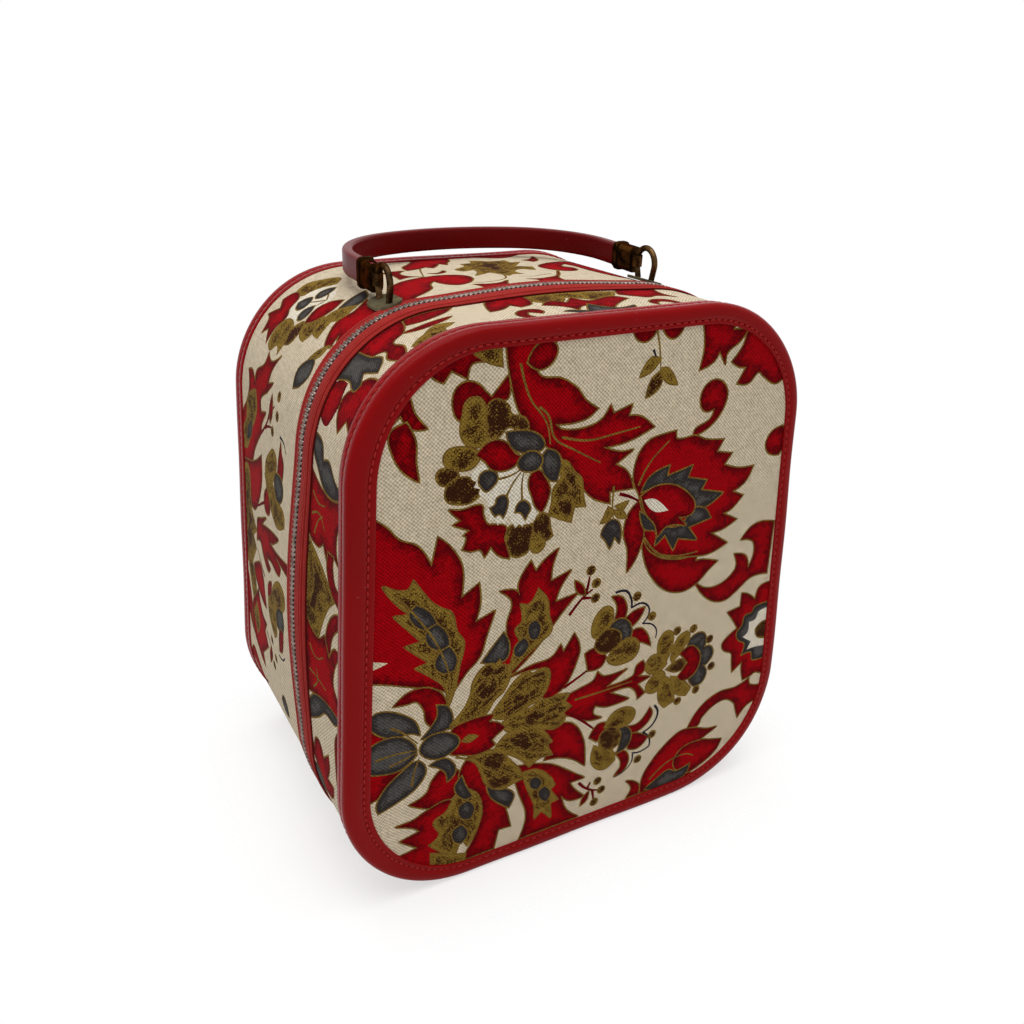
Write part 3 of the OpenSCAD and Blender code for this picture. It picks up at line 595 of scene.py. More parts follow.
    ("slate", "54,84 56,89 62,90 65,85.5 64,81.5 68,81 70,76.5 67,72 64,72 67,68 66,63 61,61.5 57,66 61,70 62,76 "
              "60,82"),
    ("red", "50,82 56,84.5 61,80.5 62.5,75 59.5,68.5 53,67 50,70 54,76"),
    ("brown", "43,76 50,79 54.5,76 50,73"),
    ("dot", "47,95 56.5,93.5 67,85 70,69.5 62,59 51.5,56"),
    ("red", "3,52 7,57.5 12,57 11,52 7,48.5"),
    ("red", "23,51 30,51 35.5,57.5 37,53 33,48 27,46.5"),
    ("red", "26,46 30,45 36,41 31,36.5 25,38"),
    ("red", "18,38 23,37.5 26,32 24,26 18.5,24.5 22,30"),
    ("slate", "16,52 22,51.5 26,46.5 24.5,40 19,37.5 20,45"),
    ("gold", "11,55 15,61 22,62 27,58 25,53 18,52 13,53"),
    ("gold", "6,46 5,39 8,33 13,31 18,34 16,40 11,43"),
    ("brown", "8.5,48 11,53 17,52.5 20,47 18,42 12,42"),
    ("navy line", "38,58 40.5,53 38,47 33,44.5 37,40 37.5,35 32,33.5 28,34.5 28,29 24,25 18.5,23.5"),
    ("dot", "38.5,41.5 31.5,29.5"),
    ("red line", "-11,118 -5,124.5 0,127.5"),
    ("red line", "-3.5,126 -2.5,130 -2,134"),
    ("red line", "-5,124.5 0,123.5"),
    ("red", "-9,133.5 -5,130 -4,126 -7.5,128"),
    ("dot", "-1.5,136.5 1.5,130 1.5,123"),
    ("red line", "-1,28 4,22.5 10,19.5"),
    ("red line", "4,22.5 5.5,26"),
    ("red line", "7,20.5 8,15"),
    ("red", "1,14 4,16 5,20.5 2,18"),
    ("dot", "9.5,25 12,19 8.5,13"),
    # Half rosette on the right edge, and the plume and flower below it
    ("red", "84,104.5 88,103 93,99 96,106 110,104 110,52 100,57 97,56 92,55 90,62 90,66 84,62 83,68 82,73 77,76 "
            "75.5,80 80,84 84,86 80,92 76.5,96.5 84,97.5"),
    ("slate", "94,95 92,92 88,91.5 87,87 84,83 86,79 90,76 89,70 95,70 97,65 110,66 110,95"),
    ("white", "97,92 95,88 91,87.5 91,82 88,80 94,76 92,72 98,72 110,70 110,92"),
    ("brown", "96,82 100,85 110,84 110,76 99,77"),
    ("red", "60,38 64,45 70,50 78,52.5 88,52 96,54.5 98,50 110,48 110,41 98,39 92,33 90,38 88,43 82,47 75,46 68,41 "
            "66,37"),
    ("red", "35,8 36,18 41,26 47,32 55,37 63,36.5 72,33 79,32 72,29 66,26.5 60,25 66,14 64,8"),
    ("red", "58,26 70,27 76,25 83,23 80,17 72,12 62,10 54,18"),
    ("rim line", "40,14 50,21 60,22 66,19"),
    ("slate", "38,9 45,13 51,15.5 56,13 64,14.5 62,9 55,7 44,7"),
    ("red", "26,18.5 30,17 34,13 34,8 27,8 29.5,13"),
]

PANEL_IN, FACE_Y, CROWN, CROWN_REACH = 5.2, 75.2, 1.3, 70
all_round = stops(0, GIRTH - 0.5)
panel_edge = around(all_round, PANEL_IN)[0]


def crowned(flat, front):
    """A panel's face: flat at the binding and a little proud in the middle."""
    reach = np.clip(depth_in(flat, panel_edge) / CROWN_REACH, 0, 1)
    y = -(FACE_Y + CROWN * np.sin(QUARTER * reach)**1.2)
    return np.stack([flat[:, 0], y if front else -y, flat[:, 1]], 1)


front_cloth = cloth("front_panel_cloth", printed(PANEL_PRINT), panel_edge, lambda flat: crowned(flat, True))
back_cloth = cloth("back_panel_cloth", printed(PANEL_PRINT, mirror=-1), panel_edge, lambda flat: crowned(flat, False))
back_cloth.data.flip_normals()
for panel, body, solid in ((front_cloth, "lid", "front_panel"), (back_cloth, "case", "back_panel")):
    panel.data.materials.append(COTTON)
    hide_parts(solid)
    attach(panel, body)


# Bands
# Two soft walls of board covered in the same print, one round the lid and one round the case, sewn under the
# bindings. Between the stiff bound edges the walls swell outward, most along the zipper.

# The walls' flowers: u along the outline from the middle of the top towards the left, and depth
WALL_PRINT = [
    # Along the top, in front of the zipper and behind it
    ("red", "-48,-38 -30,-38 -26,-45 -32,-49 -36,-51.5 -40,-50 -44,-51 -48,-55 -46,-47"),
    ("gold", "-26,-40 -22,-46 -12,-49.5 -5,-46 0,-44 3,-48.5 9,-49 15,-44 15,-38"),
    ("red", "-22,-47 -16,-48 -8,-50.5 -3,-45 2,-50.5 8,-47 13,-51 6,-55 3,-60.5 -2,-56 -8,-58 -12,-62 -17,-57 -26,-51"),
    ("slate", "-22,-61 -15,-63 -10,-61 -5,-54.5 -2,-59 0,-63 6,-60 9.5,-61 4,-65 0,-71 -14,-71"),
    ("red", "15,-38 16,-47 22,-50 25,-46 30,-50 35.5,-51.5 34,-45 30,-38"),
    ("red", "-43,-71 -42,-62 -40,-57 -35,-55.5 -31,-59 -32,-64 -34,-60 -37,-60 -39.5,-64 -36,-71"),
    ("red", "17,-57 20,-54 26,-55 29,-60 27,-65 38,-65 46,-71 10,-71 22,-66 25,-61 23,-57 19,-60.5"),
    ("red", "-62,44 -50,40.5 -42,38 -34,32 -30,24 -32,15 -38,12 -44,15 -46,22 -43,27 -48,33 -50,26 -50,12 -54,-5 "
            "-62,-12"),
    ("red", "-34,16 -28,6 -22,-3 -16,-7 -10,-9.5 -3,-9 -7,-13 -4,-21 0,-30 -13,-30 -18,-18 -20,-8 -27,3"),
    ("gold", "-29.5,44 -24,43 -25,51.5 -18,50 -13,54 -9,56 -6,48 0,46 2,38 10.5,30 10,23 4,25 6,17 11.5,8.5 2,14 "
             "-1,2 -5,5 -9,4 -10,14 -17,20 -22,16 -26.5,27 -19,30"),
    ("brown", "-16,44 -11,48 -7,40 -3,38 -4,28 -3,18 -9,22 -12,32"),
    ("rim line", "0,5 4,-4 12,-7.5 20,-4 23,3"),
    ("rim line", "-23,3 -16,0 -10,-3 -4,-2"),
    ("red", "5,-8 12,-12 21,-8 20,-16 23,-30 9,-30 9,-16"),
    ("red", "15,12 20,18.5 28,20.5 38,19 46,14 52,6 56,-4 56.5,-14 53,-21.5 50,-15 44,-10 38,-4 35,4 31,9 30,1 26,-5 "
            "20,-3 15.5,4"),
    ("red", "-4,72 0,60 4,54 7,47 9,53 13,46 17,41 19,45 24,42 29.5,40.5 28,50 22,58 18,64 14,72"),
    ("red", "31,41 36,42 42,40 40,32 41,22 35,24 29,19.5 35.5,28 36,35"),
    ("rim line", "23,42 26,34 30,22"),
    ("red", "16.5,31.5 21,26.5 25.5,28 22,24 18,26"),
    ("red", "-46,60 -42,48 -37,43.5 -34.5,50 -40,52"),
    ("red", "-46,72 -36,63 -27,60 -18,66 -12,72"),
    ("red", "46,-39 52,-45 60,-47.5 66,-45 70,-39"),
    ("red", "51,-50.5 57,-54.5 65,-54.5 71,-49 64,-51"),
    ("gold", "54.5,-59 60,-56.5 66,-60 60,-62"),
    ("gold", "60,-63 66,-60.5 73,-64 70,-68 62,-67"),
]
SIDE_PRINT = [
    # Over the shoulder and down the side, in front of the zipper
    ("red", "66,-38 86,-38 85,-48 80,-54 82,-60 79,-69 75,-60 76,-52 70,-49"),
    ("red", "92,-59 97,-55 101,-51 108,-50 114.5,-46 113,-38 100,-38 97,-48 108,-52 113.5,-57 108,-61 111.5,-67 "
            "104,-66.5 97,-71 91,-67"),
    ("slate", "86,-38 98,-38 96,-48 98,-55 95,-57 91,-53 88,-61.5 83,-56 85,-49"),
    ("slate", "119.5,-38 125,-38 131,-44 136.5,-50 137.5,-60 133,-70 131,-62 125.5,-55 127,-49 121,-46"),
    ("red", "133,-38 138,-50 138.5,-60 134,-72 146,-72 147,-65.5 155,-63 162,-65.5 160,-58.5 165,-55 158,-51 161,-46 "
            "157,-38"),
    ("rim line", "141,-40 144,-46 143,-52"),
    ("rim line", "150,-40 148,-47 153,-52"),
    ("rim line", "157,-43 151,-46 148,-50"),
    ("gold", "160,-38 168,-50 178,-61 184,-55 199,-48 196,-38"),
    ("brown", "166,-42 172,-49 178,-56 181,-48 190,-46 188,-41 178,-44"),
    ("red", "160,-55.5 168,-55 176,-60 179,-71 173.5,-71 171,-62.5 165,-60 160,-60.5"),
    ("red", "180.5,-71 183,-62 190,-56 201,-53.5 203,-58 194,-59.5 187,-66 186,-71"),
    ("red", "194,-38 199.5,-47 196,-53 204,-57 197.5,-62 198,-67 206,-62 214,-61 219,-66 226,-71 229,-60 226.5,-50 "
            "228,-38"),
    ("rim line", "205,-41 209,-46 206,-52"),
    ("rim line", "217,-40 218,-47 220,-54"),
    ("rim line", "224,-43 219,-47 214,-46"),
    ("slate", "227,-67 226,-52 228,-43 234,-38 243,-34.5 240,-41 236,-47 231,-53 231,-62"),
    ("red", "247,-35 256,-35 262,-41 268,-44 273,-50 268,-59 262,-61 262,-54 256,-56.5 250,-55.5 255,-50 249,-46 "
            "250,-42 256,-40"),
    ("slate", "265,-36 275,-38 277,-46 268,-47.5 264,-43"),
    ("red", "229,-72 236,-63.5 246,-63 262,-67 262,-72"),
    ("red", "288,-42 292,-34 300,-31 310,-36 304,-41 308,-48 300,-46 297,-54 292,-49"),
    ("gold", "300,-60 308,-55 318,-58 312,-64"),
    ("slate", "322,-40 330,-36 338,-42 330,-47"),
    ("red", "340,-58 350,-50 362,-52 372,-46 368,-56 376,-62 362,-63 352,-67"),
    # Behind the zipper: the hanging spray, leaves, berries and two buds, then the side of a great bloom
    ("gold", "60,46 66,53 72,58 78,55.5 77,47 70,42 64,39"),
    ("white", "65,37 72,44 80,46.5 88,44.5 90.5,36 88,28 80,23.5 72,23 67,30"),
    ("rim line", "74,25 71,30 70,34"),
    ("rim line", "74,25 77,31 80,38"),
    ("rim line", "75,25 79,27 83,29"),
    ("slate", "66,34 68.5,37 72,38.2 75,36.2 75.2,33 72.6,31 69,31.4"),
    ("slate", "76.4,38 78.4,41.6 81.4,43.6 84,41 84.2,37.4 82,34.8 78.8,35"),
    ("slate", "79.2,28 81.6,31.2 85,32.6 87.8,30.4 87.6,27.2 85,25.4 81.6,25.8"),
    ("red", "78,56 84,60.5 88,55 93,62.5 95,58 101.5,57 98,52 104,46 96,45 90,42 86,46 80,48"),
    ("gold", "90,38 94,42.5 102,43.5 105,38 101.5,32.5 104.5,28 96,26 91,30"),
    ("brown", "87.5,23 92,27.5 99.5,26 97,20 90,19.5"),
    ("slate", "60,14 68,11 75,8 70,1 64,3"),
    ("gold", "80,12 86,20 92,18 94,10 88,7.5"),
    ("gold", "69,0 76,8 82,9.5 88,8.5 89.5,0 81,2 78,-4"),
    ("red", "70,14 74,20.5 80,23.5 87.5,21 84,14.5 77,11"),
    ("red", "64,2 72,-4 80,-2.5 86,-6 90.5,-11 90,-16 84,-14 88,-21 84,-26 72,-26 67,-16"),
    ("rim line", "98,-10 94,-9 90,-15 88,-20"),
    ("gold", "90,-14 94,-8.5 99,-5 95,-13"),
    ("slate", "97.5,-9 102,-2 106,-0.5 111.5,-3 109,-9 104,-13.5 99,-12.5"),
    ("red", "104,21.5 109,30 106.5,37.5 112,38 117,46 122,45 118,52 119,57.5 126,54 134,59 140,66 150,72 166,72 160,50 "
            "152,44 146,38 141,33 137,32 130,25.5 132,33 126,34 121,26 116,20.5 118,27 111,26"),
    ("gold", "125,43 128,52 134,58 142,60 150,68 158,70 156,60 150,54 144,50 138,44 132,41"),
    ("slate", "140,50 146,58 152,60 150,54 145,50"),
    ("red line", "142,34 136,26 130,20 124,14"),
    ("red line", "133,23 127,20 121,19"),
    ("red line", "137,27 135,22 134,17"),
    ("red", "120.5,19 127,20.5 132.5,19 127,16"),
    ("dot", "119,10 127,9 135,15"),
    ("red", "135.5,2 142,3.5 151,4.5 151.5,-3 144,-3.5 140,0"),
    ("gold", "142.5,12 146,18.5 152,23.5 158,22 160,16 152,8 146,6.5"),
    ("gold", "157,24 164,18 169,10 172,0 168,-10 163,-8 161,4 155,14"),
    ("slate", "150.5,6 154,8.5 160,4.5 160.5,-2 156,-5.5 151,-2.5"),
    ("red", "162,20 167,24.5 172.5,22 172,14.5 168,13.5"),
    ("navy line", "134,4 135,-2 138.5,-6"),
    ("red", "151,31.5 156,40 160,50 165,72 172,72 176,54 182,55 181,44 172,34 162,29.5"),
    ("gold", "167,56 165,62 172,72 216,72 215,58 207,50 200,43 196,50 190,41 186,50 180,54"),
    ("brown", "176,60 184,66 192,60 200,66 208,60 202,54 196,57 190,50 186,57"),
    ("red", "184,39 180,30 175.5,19 178,23 182,28 178,10 176.5,-3 182,6 184,12 184,0 181.5,-21 187,-21 186,2 188,-7 "
            "192.5,-4 192,10 194,18 196,11 199.5,16 196,26 192,32 195,41 188,40"),
    ("red line", "170,24 174,32 178,40"),
    ("red line", "206,24 203,32 199,40"),
    ("red", "218,72 224,66 234,61 244,57 253,54 250,62 242,68 232,72"),
    ("gold", "212,66 215,50 226,47 238,46 248,43 245,49 232,56 222,62"),
    ("gold", "198,-12 196,-4 202,6 208,9 214,4 210,-4 204,-12"),
    ("gold", "205,12 212,17.5 222,18.5 229.5,10 224,4.5 214,5"),
    ("slate", "209,-2 214,3 220,2.5 220.5,-5 214,-9.5 208,-8.5"),
    ("red", "202,9.5 206,16.5 212.5,18.5 209,12"),
    ("red", "219,-3 224,0.5 232.5,2.5 230,-3 224,-6 219,-7.5"),
    ("navy line", "236,5 235,-2 231,-7"),
    ("red", "204,34 207,42 212,51 218,46 222.5,32 222,24 214,26 208,28"),
    ("red", "221,42 228,50 236,58 250,58.5 258,46 261,37 254,40 248,32 244,27 238,32 232,27 230,36"),
    ("gold", "231,48 240,56.5 249,50 240,44"),
    ("red line", "236,28 239,23 243,19"),
    ("red", "240,20 246,24.5 251,25 245,19.5"),
    ("dot", "235,17 242,12 248.5,17"),
    ("slate", "258,4 262,8.5 267,5 266,-1 261,-1"),
    ("red", "262,60 266,52 272,46 270,38 276,44 284,40 280,50 286,58 276,60 270,68"),
    ("gold", "292,10 300,18 310,14 318,20 314,8 322,2 308,2 300,-4"),
    ("red", "318,44 328,38 340,44 352,36 348,48 358,56 342,54 332,62"),
    ("slate", "366,14 374,20 384,16 380,6 370,6"),
    ("red", "372,-8 382,-14 396,-8 388,0 378,2"),
]

# How the walls swell: how much and where along the outline, and over what depth beside the fullest line
SIDE_SWELL, SIDE_FROM, SIDE_LONG = 5.0, 116, 164
TOP_SWELL, TOP_HALF = 3.0, 54
FULLEST_Y, RUN_FRONT, RUN_BACK = -22, 46, 90


def swell(u, y):
    """How far the walls stand out between the bound edges."""
    u = np.abs(np.mod(u + GIRTH / 2, GIRTH) - GIRTH / 2)
    side = np.sin(math.pi * np.clip((u - SIDE_FROM) / SIDE_LONG, 0, 1))**1.5
    top = np.cos(QUARTER * np.clip(u / TOP_HALF, 0, 1))**1.5
    ahead = y < FULLEST_Y
    across = np.clip((y - FULLEST_Y) / np.where(ahead, RUN_FRONT, RUN_BACK), -1, 1)
    return (SIDE_SWELL * side + TOP_SWELL * top) * np.cos(QUARTER * across)**np.where(ahead, 2.0, 1.2)


def on_wall(u, y, inset):
    """Points on the walls, in millimetres."""
    u, y, inset = np.broadcast_arrays(*(np.asarray(c, float) for c in (u, y, inset)))
    p, out = around(u, inset)
    p = p + out * swell(u, y)[..., None]
    return np.stack([p[..., 0], y, p[..., 1]], -1)


def loft(name, rings, run, closed=True, section_closed=True, capped=False):
    """Sections joined in turn into one skin, with the distance along it and across it as its UV map."""
    rings = np.asarray(rings, float)
    n, m = rings.shape[:2]
    faces, uvs = [], []
    gaps = np.linalg.norm(np.diff(rings[0], axis=0, append=rings[0][:1]), axis=1)
    across = np.concatenate([[0], np.cumsum(gaps)])
    step = np.append(run, run[-1] + (run[1] - run[0]))
    for i in range(n if closed else n - 1):
        k = (i + 1) % n
        for j in range(m if section_closed else m - 1):
            h = (j + 1) % m
            faces.append((i * m + j, k * m + j, k * m + h, i * m + h))
            uvs += [(step[a], across[b]) for a, b in ((i, j), (i + 1, j), (i + 1, j + 1), (i, j + 1))]
    if capped:
        for first, order in ((0, 1), ((n - 1) * m, -1)):
            ring = list(range(first, first + m))[::order]
            faces.append(tuple(ring))
            uvs += [(0, 0)] * m
    mesh = bpy.data.meshes.new(name)
    mesh.from_pydata((rings.reshape(-1, 3) / 1000).tolist(), [], faces)
    mesh.uv_layers.new(name="cloth").data.foreach_set("uv", (np.array(uvs) / 1000).ravel())
    piece = bpy.data.objects.new(name, mesh)
    bpy.context.collection.objects.link(piece)
    tidy(piece)
    return piece


def tidy(piece, merge=0.0):
    """Merges doubles, turns the faces outward and shades the piece smooth."""
    bpy.ops.object.select_all(action="DESELECT")
    piece.select_set(True)
    bpy.context.view_layer.objects.active = piece
    bpy.ops.object.mode_set(mode="EDIT")
    bpy.ops.mesh.select_all(action="SELECT")
    if merge:
        bpy.ops.mesh.remove_doubles(threshold=merge)
    bpy.ops.mesh.normals_make_consistent(inside=False)
    bpy.ops.object.mode_set(mode="OBJECT")
    bpy.ops.object.shade_smooth_by_angle(angle=math.radians(40))
    piece.select_set(False)


def joined(name, *parts):
    """Parts made one mesh."""
    bpy.ops.object.select_all(action="DESELECT")
    for part in parts:
        part.select_set(True)
    bpy.context.view_layer.objects.active = parts[0]
    bpy.ops.object.join()
    parts[0].name = parts[0].data.name = name
    parts[0].select_set(False)
    return parts[0]


BOARD_OUT, BOARD_IN = 1.6, 3.7
wall_layers = printed(WALL_PRINT) + printed(SIDE_PRINT) + printed(SIDE_PRINT, mirror=-1)
for name, body, solid, near, far in (
    ("lid_band_cloth", "lid", "lid_band", -71.5, -30.5),
    ("case_band_cloth", "case", "case_band", -21.5, 71.5),
):
    long = np.linspace(-GIRTH / 2, GIRTH / 2, 261)
    wide = np.linspace(near, far, int((far - near) / 3) + 1)
    border = np.concatenate([
        np.stack([long, np.full(len(long), near)], 1),
        np.stack([np.full(len(wide), GIRTH / 2), wide], 1)[1:],
        np.stack([long[::-1], np.full(len(long), far)], 1)[1:],
        np.stack([np.full(len(wide), -GIRTH / 2), wide[::-1]], 1)[1:-1],
    ])
    near_layers = [(line, ink) for line, ink in wall_layers if line[:, 1].max() > near and line[:, 1].min() < far]
    band = cloth(name, near_layers, border, lambda flat: on_wall(flat[:, 0], flat[:, 1], CLOTH_IN))
    band.data.flip_normals()
    band.data.materials.append(COTTON)
    section = [(y, BOARD_OUT) for y in np.linspace(far, near, 9)] + [(near, BOARD_IN), (far, BOARD_IN)]
    board = loft(name + "_board", np.stack([on_wall(all_round, y, inset) for y, inset in section], 1), all_round)
    board.data.materials.append(COTTON)
    colour, dark, amount, _, _, dots = INKS["cloth"]
    for label, values in (("ink", colour + (amount,)), ("shade", dark + (dots,))):
        layer = board.data.color_attributes.new(label, "FLOAT_COLOR", "CORNER")
        layer.data.foreach_set("color", np.tile(values, len(board.data.loops)))
    band = joined(name, band, board)
    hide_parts(solid)
    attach(band, body)


# Linings
# A thin plain cotton tray glued inside the lid and inside the case, its edge turned in behind the zipper.
# The wall follows the band, and the sheet over the panel is drawn up in shallow folds at the corners.

def lining_material():
    """Plain cream cotton with fine threads and faint creases, and painted shade in the gaps between the threads."""
    mat, tree, shader = material("lining_cotton", 0.88, specular=0.15)
    uv = node(tree, "ShaderNodeUVMap", uv_map="cloth").outputs[0]
    threads = node(tree, "ShaderNodeGroup", {"Cloth": uv, "Threads": 1600.0}, node_tree=WEAVE).outputs
    soft = noise(tree, node(tree, "ShaderNodeTexCoord").outputs["Object"], 24.0, 4.0)
    cream = mixed(tree, soft, linear(224, 214, 194), linear(206, 194, 170))
    # The thread height darkens the colour a little between threads: painted shade.
    light = sums(tree, "MULTIPLY_ADD", threads["Height"], 0.12, 0.9)
    fold = sums(tree, "MULTIPLY_ADD", soft, 2.0, threads["Height"])
    surface(tree, shader, scaled(tree, cream, light), fold, strength=0.4, distance=0.0005)
    return mat


LINING = lining_material()
LINING_IN, MID_Z, PINCH = 4.6, 120, 0.002
HEM = [(-1.4, 1.3), (-1.6, 2.2), (-1.2, 3.5), (-0.3, 4.3), (2, 4.5)]
SHEET = [(-3, LINING_IN), (-0.8, 5.2), (0, 7), (0.1, 12), (0, 24), (0, 38), (0, 52)]
for name, body, solid, mouth, floor_y in (
    ("lid_lining_tray", "lid", "lid_lining", -30.0, -71.8),
    ("case_lining_tray", "case", "case_lining", -22.0, 71.8),
):
    side = 1 if floor_y > 0 else -1
    section = [(mouth + side * depth, inset) for depth, inset in HEM]
    section += [(mouth + (floor_y - mouth) * step, LINING_IN) for step in (0.15, 0.3, 0.45, 0.6, 0.75, 0.88)]
    section += [(floor_y + side * depth, inset) for depth, inset in SHEET]
    rings = []
    for y, inset in section:
        ripple = 0.25 * np.sin(all_round / 3.1) * np.exp(-((inset - 7) / 5)**2)
        rings.append(on_wall(all_round, y, inset) - np.outer(side * ripple, (0, 1, 0)))
    rings = np.stack(rings, 1)
    middle = rings[:, -1] * (PINCH, 1, PINCH) + (0, 0, MID_Z * (1 - PINCH))
    tray = loft(name, np.concatenate([rings, middle[:, None]], 1), all_round, section_closed=False)
    tidy(tray, merge=0.0003)
    if side * sum(face.normal.y * face.area for face in tray.data.polygons) > 0:
        tray.data.flip_normals()
    tray.data.materials.append(LINING)
    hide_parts(solid)
    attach(tray, body)


# Bindings
# Red vinyl bound over the front and back edges: folded to a small round at the edge, with a flat flange on the
# panel and one on the wall, each sewn down with a row of stitches in red thread.

def vinyl_material(name, base, worn, roughness, wear, shine):
    """Red vinyl: fine grain, tone that drifts, and pale rubbed marks."""
    mat, tree, shader = material(name, roughness, specular=shine)
    spot = node(tree, "ShaderNodeTexCoord").outputs["Object"]
    drift = noise(tree, spot, 18.0, 3.0)
    rubbed = noise(tree, stretched(tree, spot, (240.0, 240.0, 900.0)), 1.0, 4.0, Roughness=0.7)
    patch = noise(tree, spot, 42.0, 2.0)
    mark = sums(tree, "MULTIPLY", sums(tree, "SUBTRACT", rubbed, 0.66), 9.0, clamp=True)
    here = sums(tree, "MULTIPLY", sums(tree, "SUBTRACT", patch, 0.6), 8.0, clamp=True)
    scuff = sums(tree, "MULTIPLY", sums(tree, "MULTIPLY", mark, here), wear)
    tone = mixed(tree, drift, tuple(0.72 * c for c in base), base)
    rough = sums(tree, "MULTIPLY_ADD", drift, 0.16, roughness - 0.08)
    tree.links.new(sums(tree, "MULTIPLY_ADD", scuff, 0.3, rough), shader.inputs["Roughness"])
    grain = node(tree, "ShaderNodeTexVoronoi", {"Vector": spot, "Scale": 1500.0}).outputs["Distance"]
    surface(tree, shader, mixed(tree, scuff, tone, worn), grain, strength=0.16, distance=0.0002)
    return mat


def thread_material():
    """Red sewing thread, uneven in its dye and a little fuzzy."""
    mat, tree, shader = material("red_thread", 0.7, specular=0.1)
    fuzz = noise(tree, node(tree, "ShaderNodeTexCoord").outputs["Object"], 2200.0, 2.0)
    dye = mixed(tree, fuzz, linear(128, 14, 16), linear(196, 52, 50))
    surface(tree, shader, dye, fuzz, strength=0.4, distance=0.0001)
    return mat


def stitch_shape(length, width):
    """One stitch: a bead of thread drawn in at both ends."""
    bpy.ops.object.select_all(action="DESELECT")
    bpy.ops.mesh.primitive_uv_sphere_add(segments=6, ring_count=4, radius=0.5)
    bead = bpy.context.object
    bead.scale = (width, width * 0.7, length)
    bpy.ops.object.transform_apply(location=False, rotation=False, scale=True)
    points = np.array([v.co[:] for v in bead.data.vertices])
    faces = [tuple(f.vertices) for f in bead.data.polygons]
    bpy.data.objects.remove(bead)
    return points, faces


def row_of(name, shape, places, along, out):
    """Copies of one shape at places, its length along one direction and its back along another."""
    points, faces = shape
    n = len(points)
    verts = places[:, None]
    for axis, way in enumerate((np.cross(out, along), out, along)):
        verts = verts + points[None, :, axis:axis + 1] * way[:, None]
    copies = [tuple(k * n + i for i in face) for k in range(len(places)) for face in faces]
    mesh = bpy.data.meshes.new(name)
    mesh.from_pydata((verts.reshape(-1, 3) / 1000).tolist(), [], copies)
    mesh.shade_smooth()
    piece = bpy.data.objects.new(name, mesh)
    bpy.context.collection.objects.link(piece)
    return piece


def sewn(pitch, place, first=0.0, last=None):
    """A row of stitches along the outline, where place gives a point for each distance along it."""
    last = GIRTH + first if last is None else last
    n = int((last - first) / pitch)
    u = first + (np.arange(n) + 0.5) * (last - first) / n
    here, ahead = place(u), place(u + 0.4)
    along = ahead - here
    along /= np.linalg.norm(along, axis=1)[:, None]
    way = around(u, 0)[1]
    return here, along, np.stack([way[:, 0], np.zeros(n), way[:, 1]], 1)


VINYL = vinyl_material("red_vinyl", linear(151, 8, 11), linear(226, 190, 180), roughness=0.28, wear=0.7, shine=0.07)
THREAD = thread_material()
HALF_DEPTH, FOLD_IN, FOLD_R = 76, 2.3, 2.65

# The binding's section as inset and depth: the flange on the wall, the fold, the flange on the face and back inside
BEAD = [(0.5, 9.3), (0.1, 9.0), (-0.05, 8.4), (-0.05, 6.4), (0.0, 5.9), (0.35, 5.4), (0.0, 4.9), (-0.2, 4.3)]
BEAD += [(-0.32, 3.2)]
BEAD += [(FOLD_IN - FOLD_R * math.cos(a), FOLD_IN - FOLD_R * math.sin(a)) for a in np.radians(range(0, 91, 15))]
BEAD += [(3.8, -0.46), (5.2, -0.44), (6.4, -0.3), (7.2, -0.05), (7.75, 0.25), (8.1, 0.5), (8.45, 0.25), (8.9, 0.02)]
BEAD += [(9.6, -0.05), (10.4, 0.0), (10.85, 0.2), (11.0, 0.55), (10.8, 0.9), (7, 0.95), (3, 0.9), (3, 3.5)]
BEAD += [(0.9, 3.6), (0.9, 9.2)]


def flange(u, inset):
    """How far in a point of the face's flange lies: it was folded broadest on the left and narrowest on the right."""
    way = around(u, 0)[1]
    left, right, low = np.clip(-way[:, 0], 0, 1)**1.5, np.clip(way[:, 0], 0, 1)**1.5, np.clip(-way[:, 1], 0, 1)
    share = 0.62 + 0.36 * left - 0.1 * right - 0.04 * low
    return np.where(inset > FOLD_IN, FOLD_IN + (inset - FOLD_IN) * share, inset)


for name, body, solid, sign in (
    ("lid_binding_vinyl", "lid", "lid_binding", -1),
    ("case_binding_vinyl", "case", "case_binding", 1),
):
    rings = []
    uneven = 0.12 * np.sin(all_round / 9.7) + 0.1 * np.sin(all_round / 23.0 + 1)
    for inset, depth in BEAD:
        p, out = around(all_round, flange(all_round, inset))
        push = uneven if depth < 6 and inset < 6 else 0 * uneven
        p = p + out * push[:, None] * 0.6
        rings.append(np.stack([p[:, 0], sign * (HALF_DEPTH - depth) + sign * push, p[:, 1]], 1))
    bead = loft(name, np.stack(rings, 1), all_round)
    bead.data.materials.append(VINYL)
    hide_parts(solid)
    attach(bead, body)
    rows = []
    for label, inset, depth in (("face", 8.1, 0.1), ("wall", -0.02, 5.4)):
        def seam(u, inset=inset, depth=depth, sign=sign):
            p = around(u, flange(u, inset))[0]
            return np.stack([p[:, 0], np.full(len(u), sign * (HALF_DEPTH - depth)), p[:, 1]], 1)
        here, along, out = sewn(pitch=3.4, place=seam)
        if label == "face":
            out = np.tile([0.0, sign, 0.0], (len(here), 1))
        rows.append(row_of(name + "_" + label, stitch_shape(length=2.5, width=1.0), here, along, out))
    seams = joined(name + "_stitches", *rows)
    seams.data.materials.append(THREAD)
    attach(seams, body)


# Zipper tapes
# Red ribbed cotton tapes sewn over the edges of the two walls. The lid's tape is broad, with a smooth strip
# beside the teeth and two stitched ribs, and the case's tape is narrow.

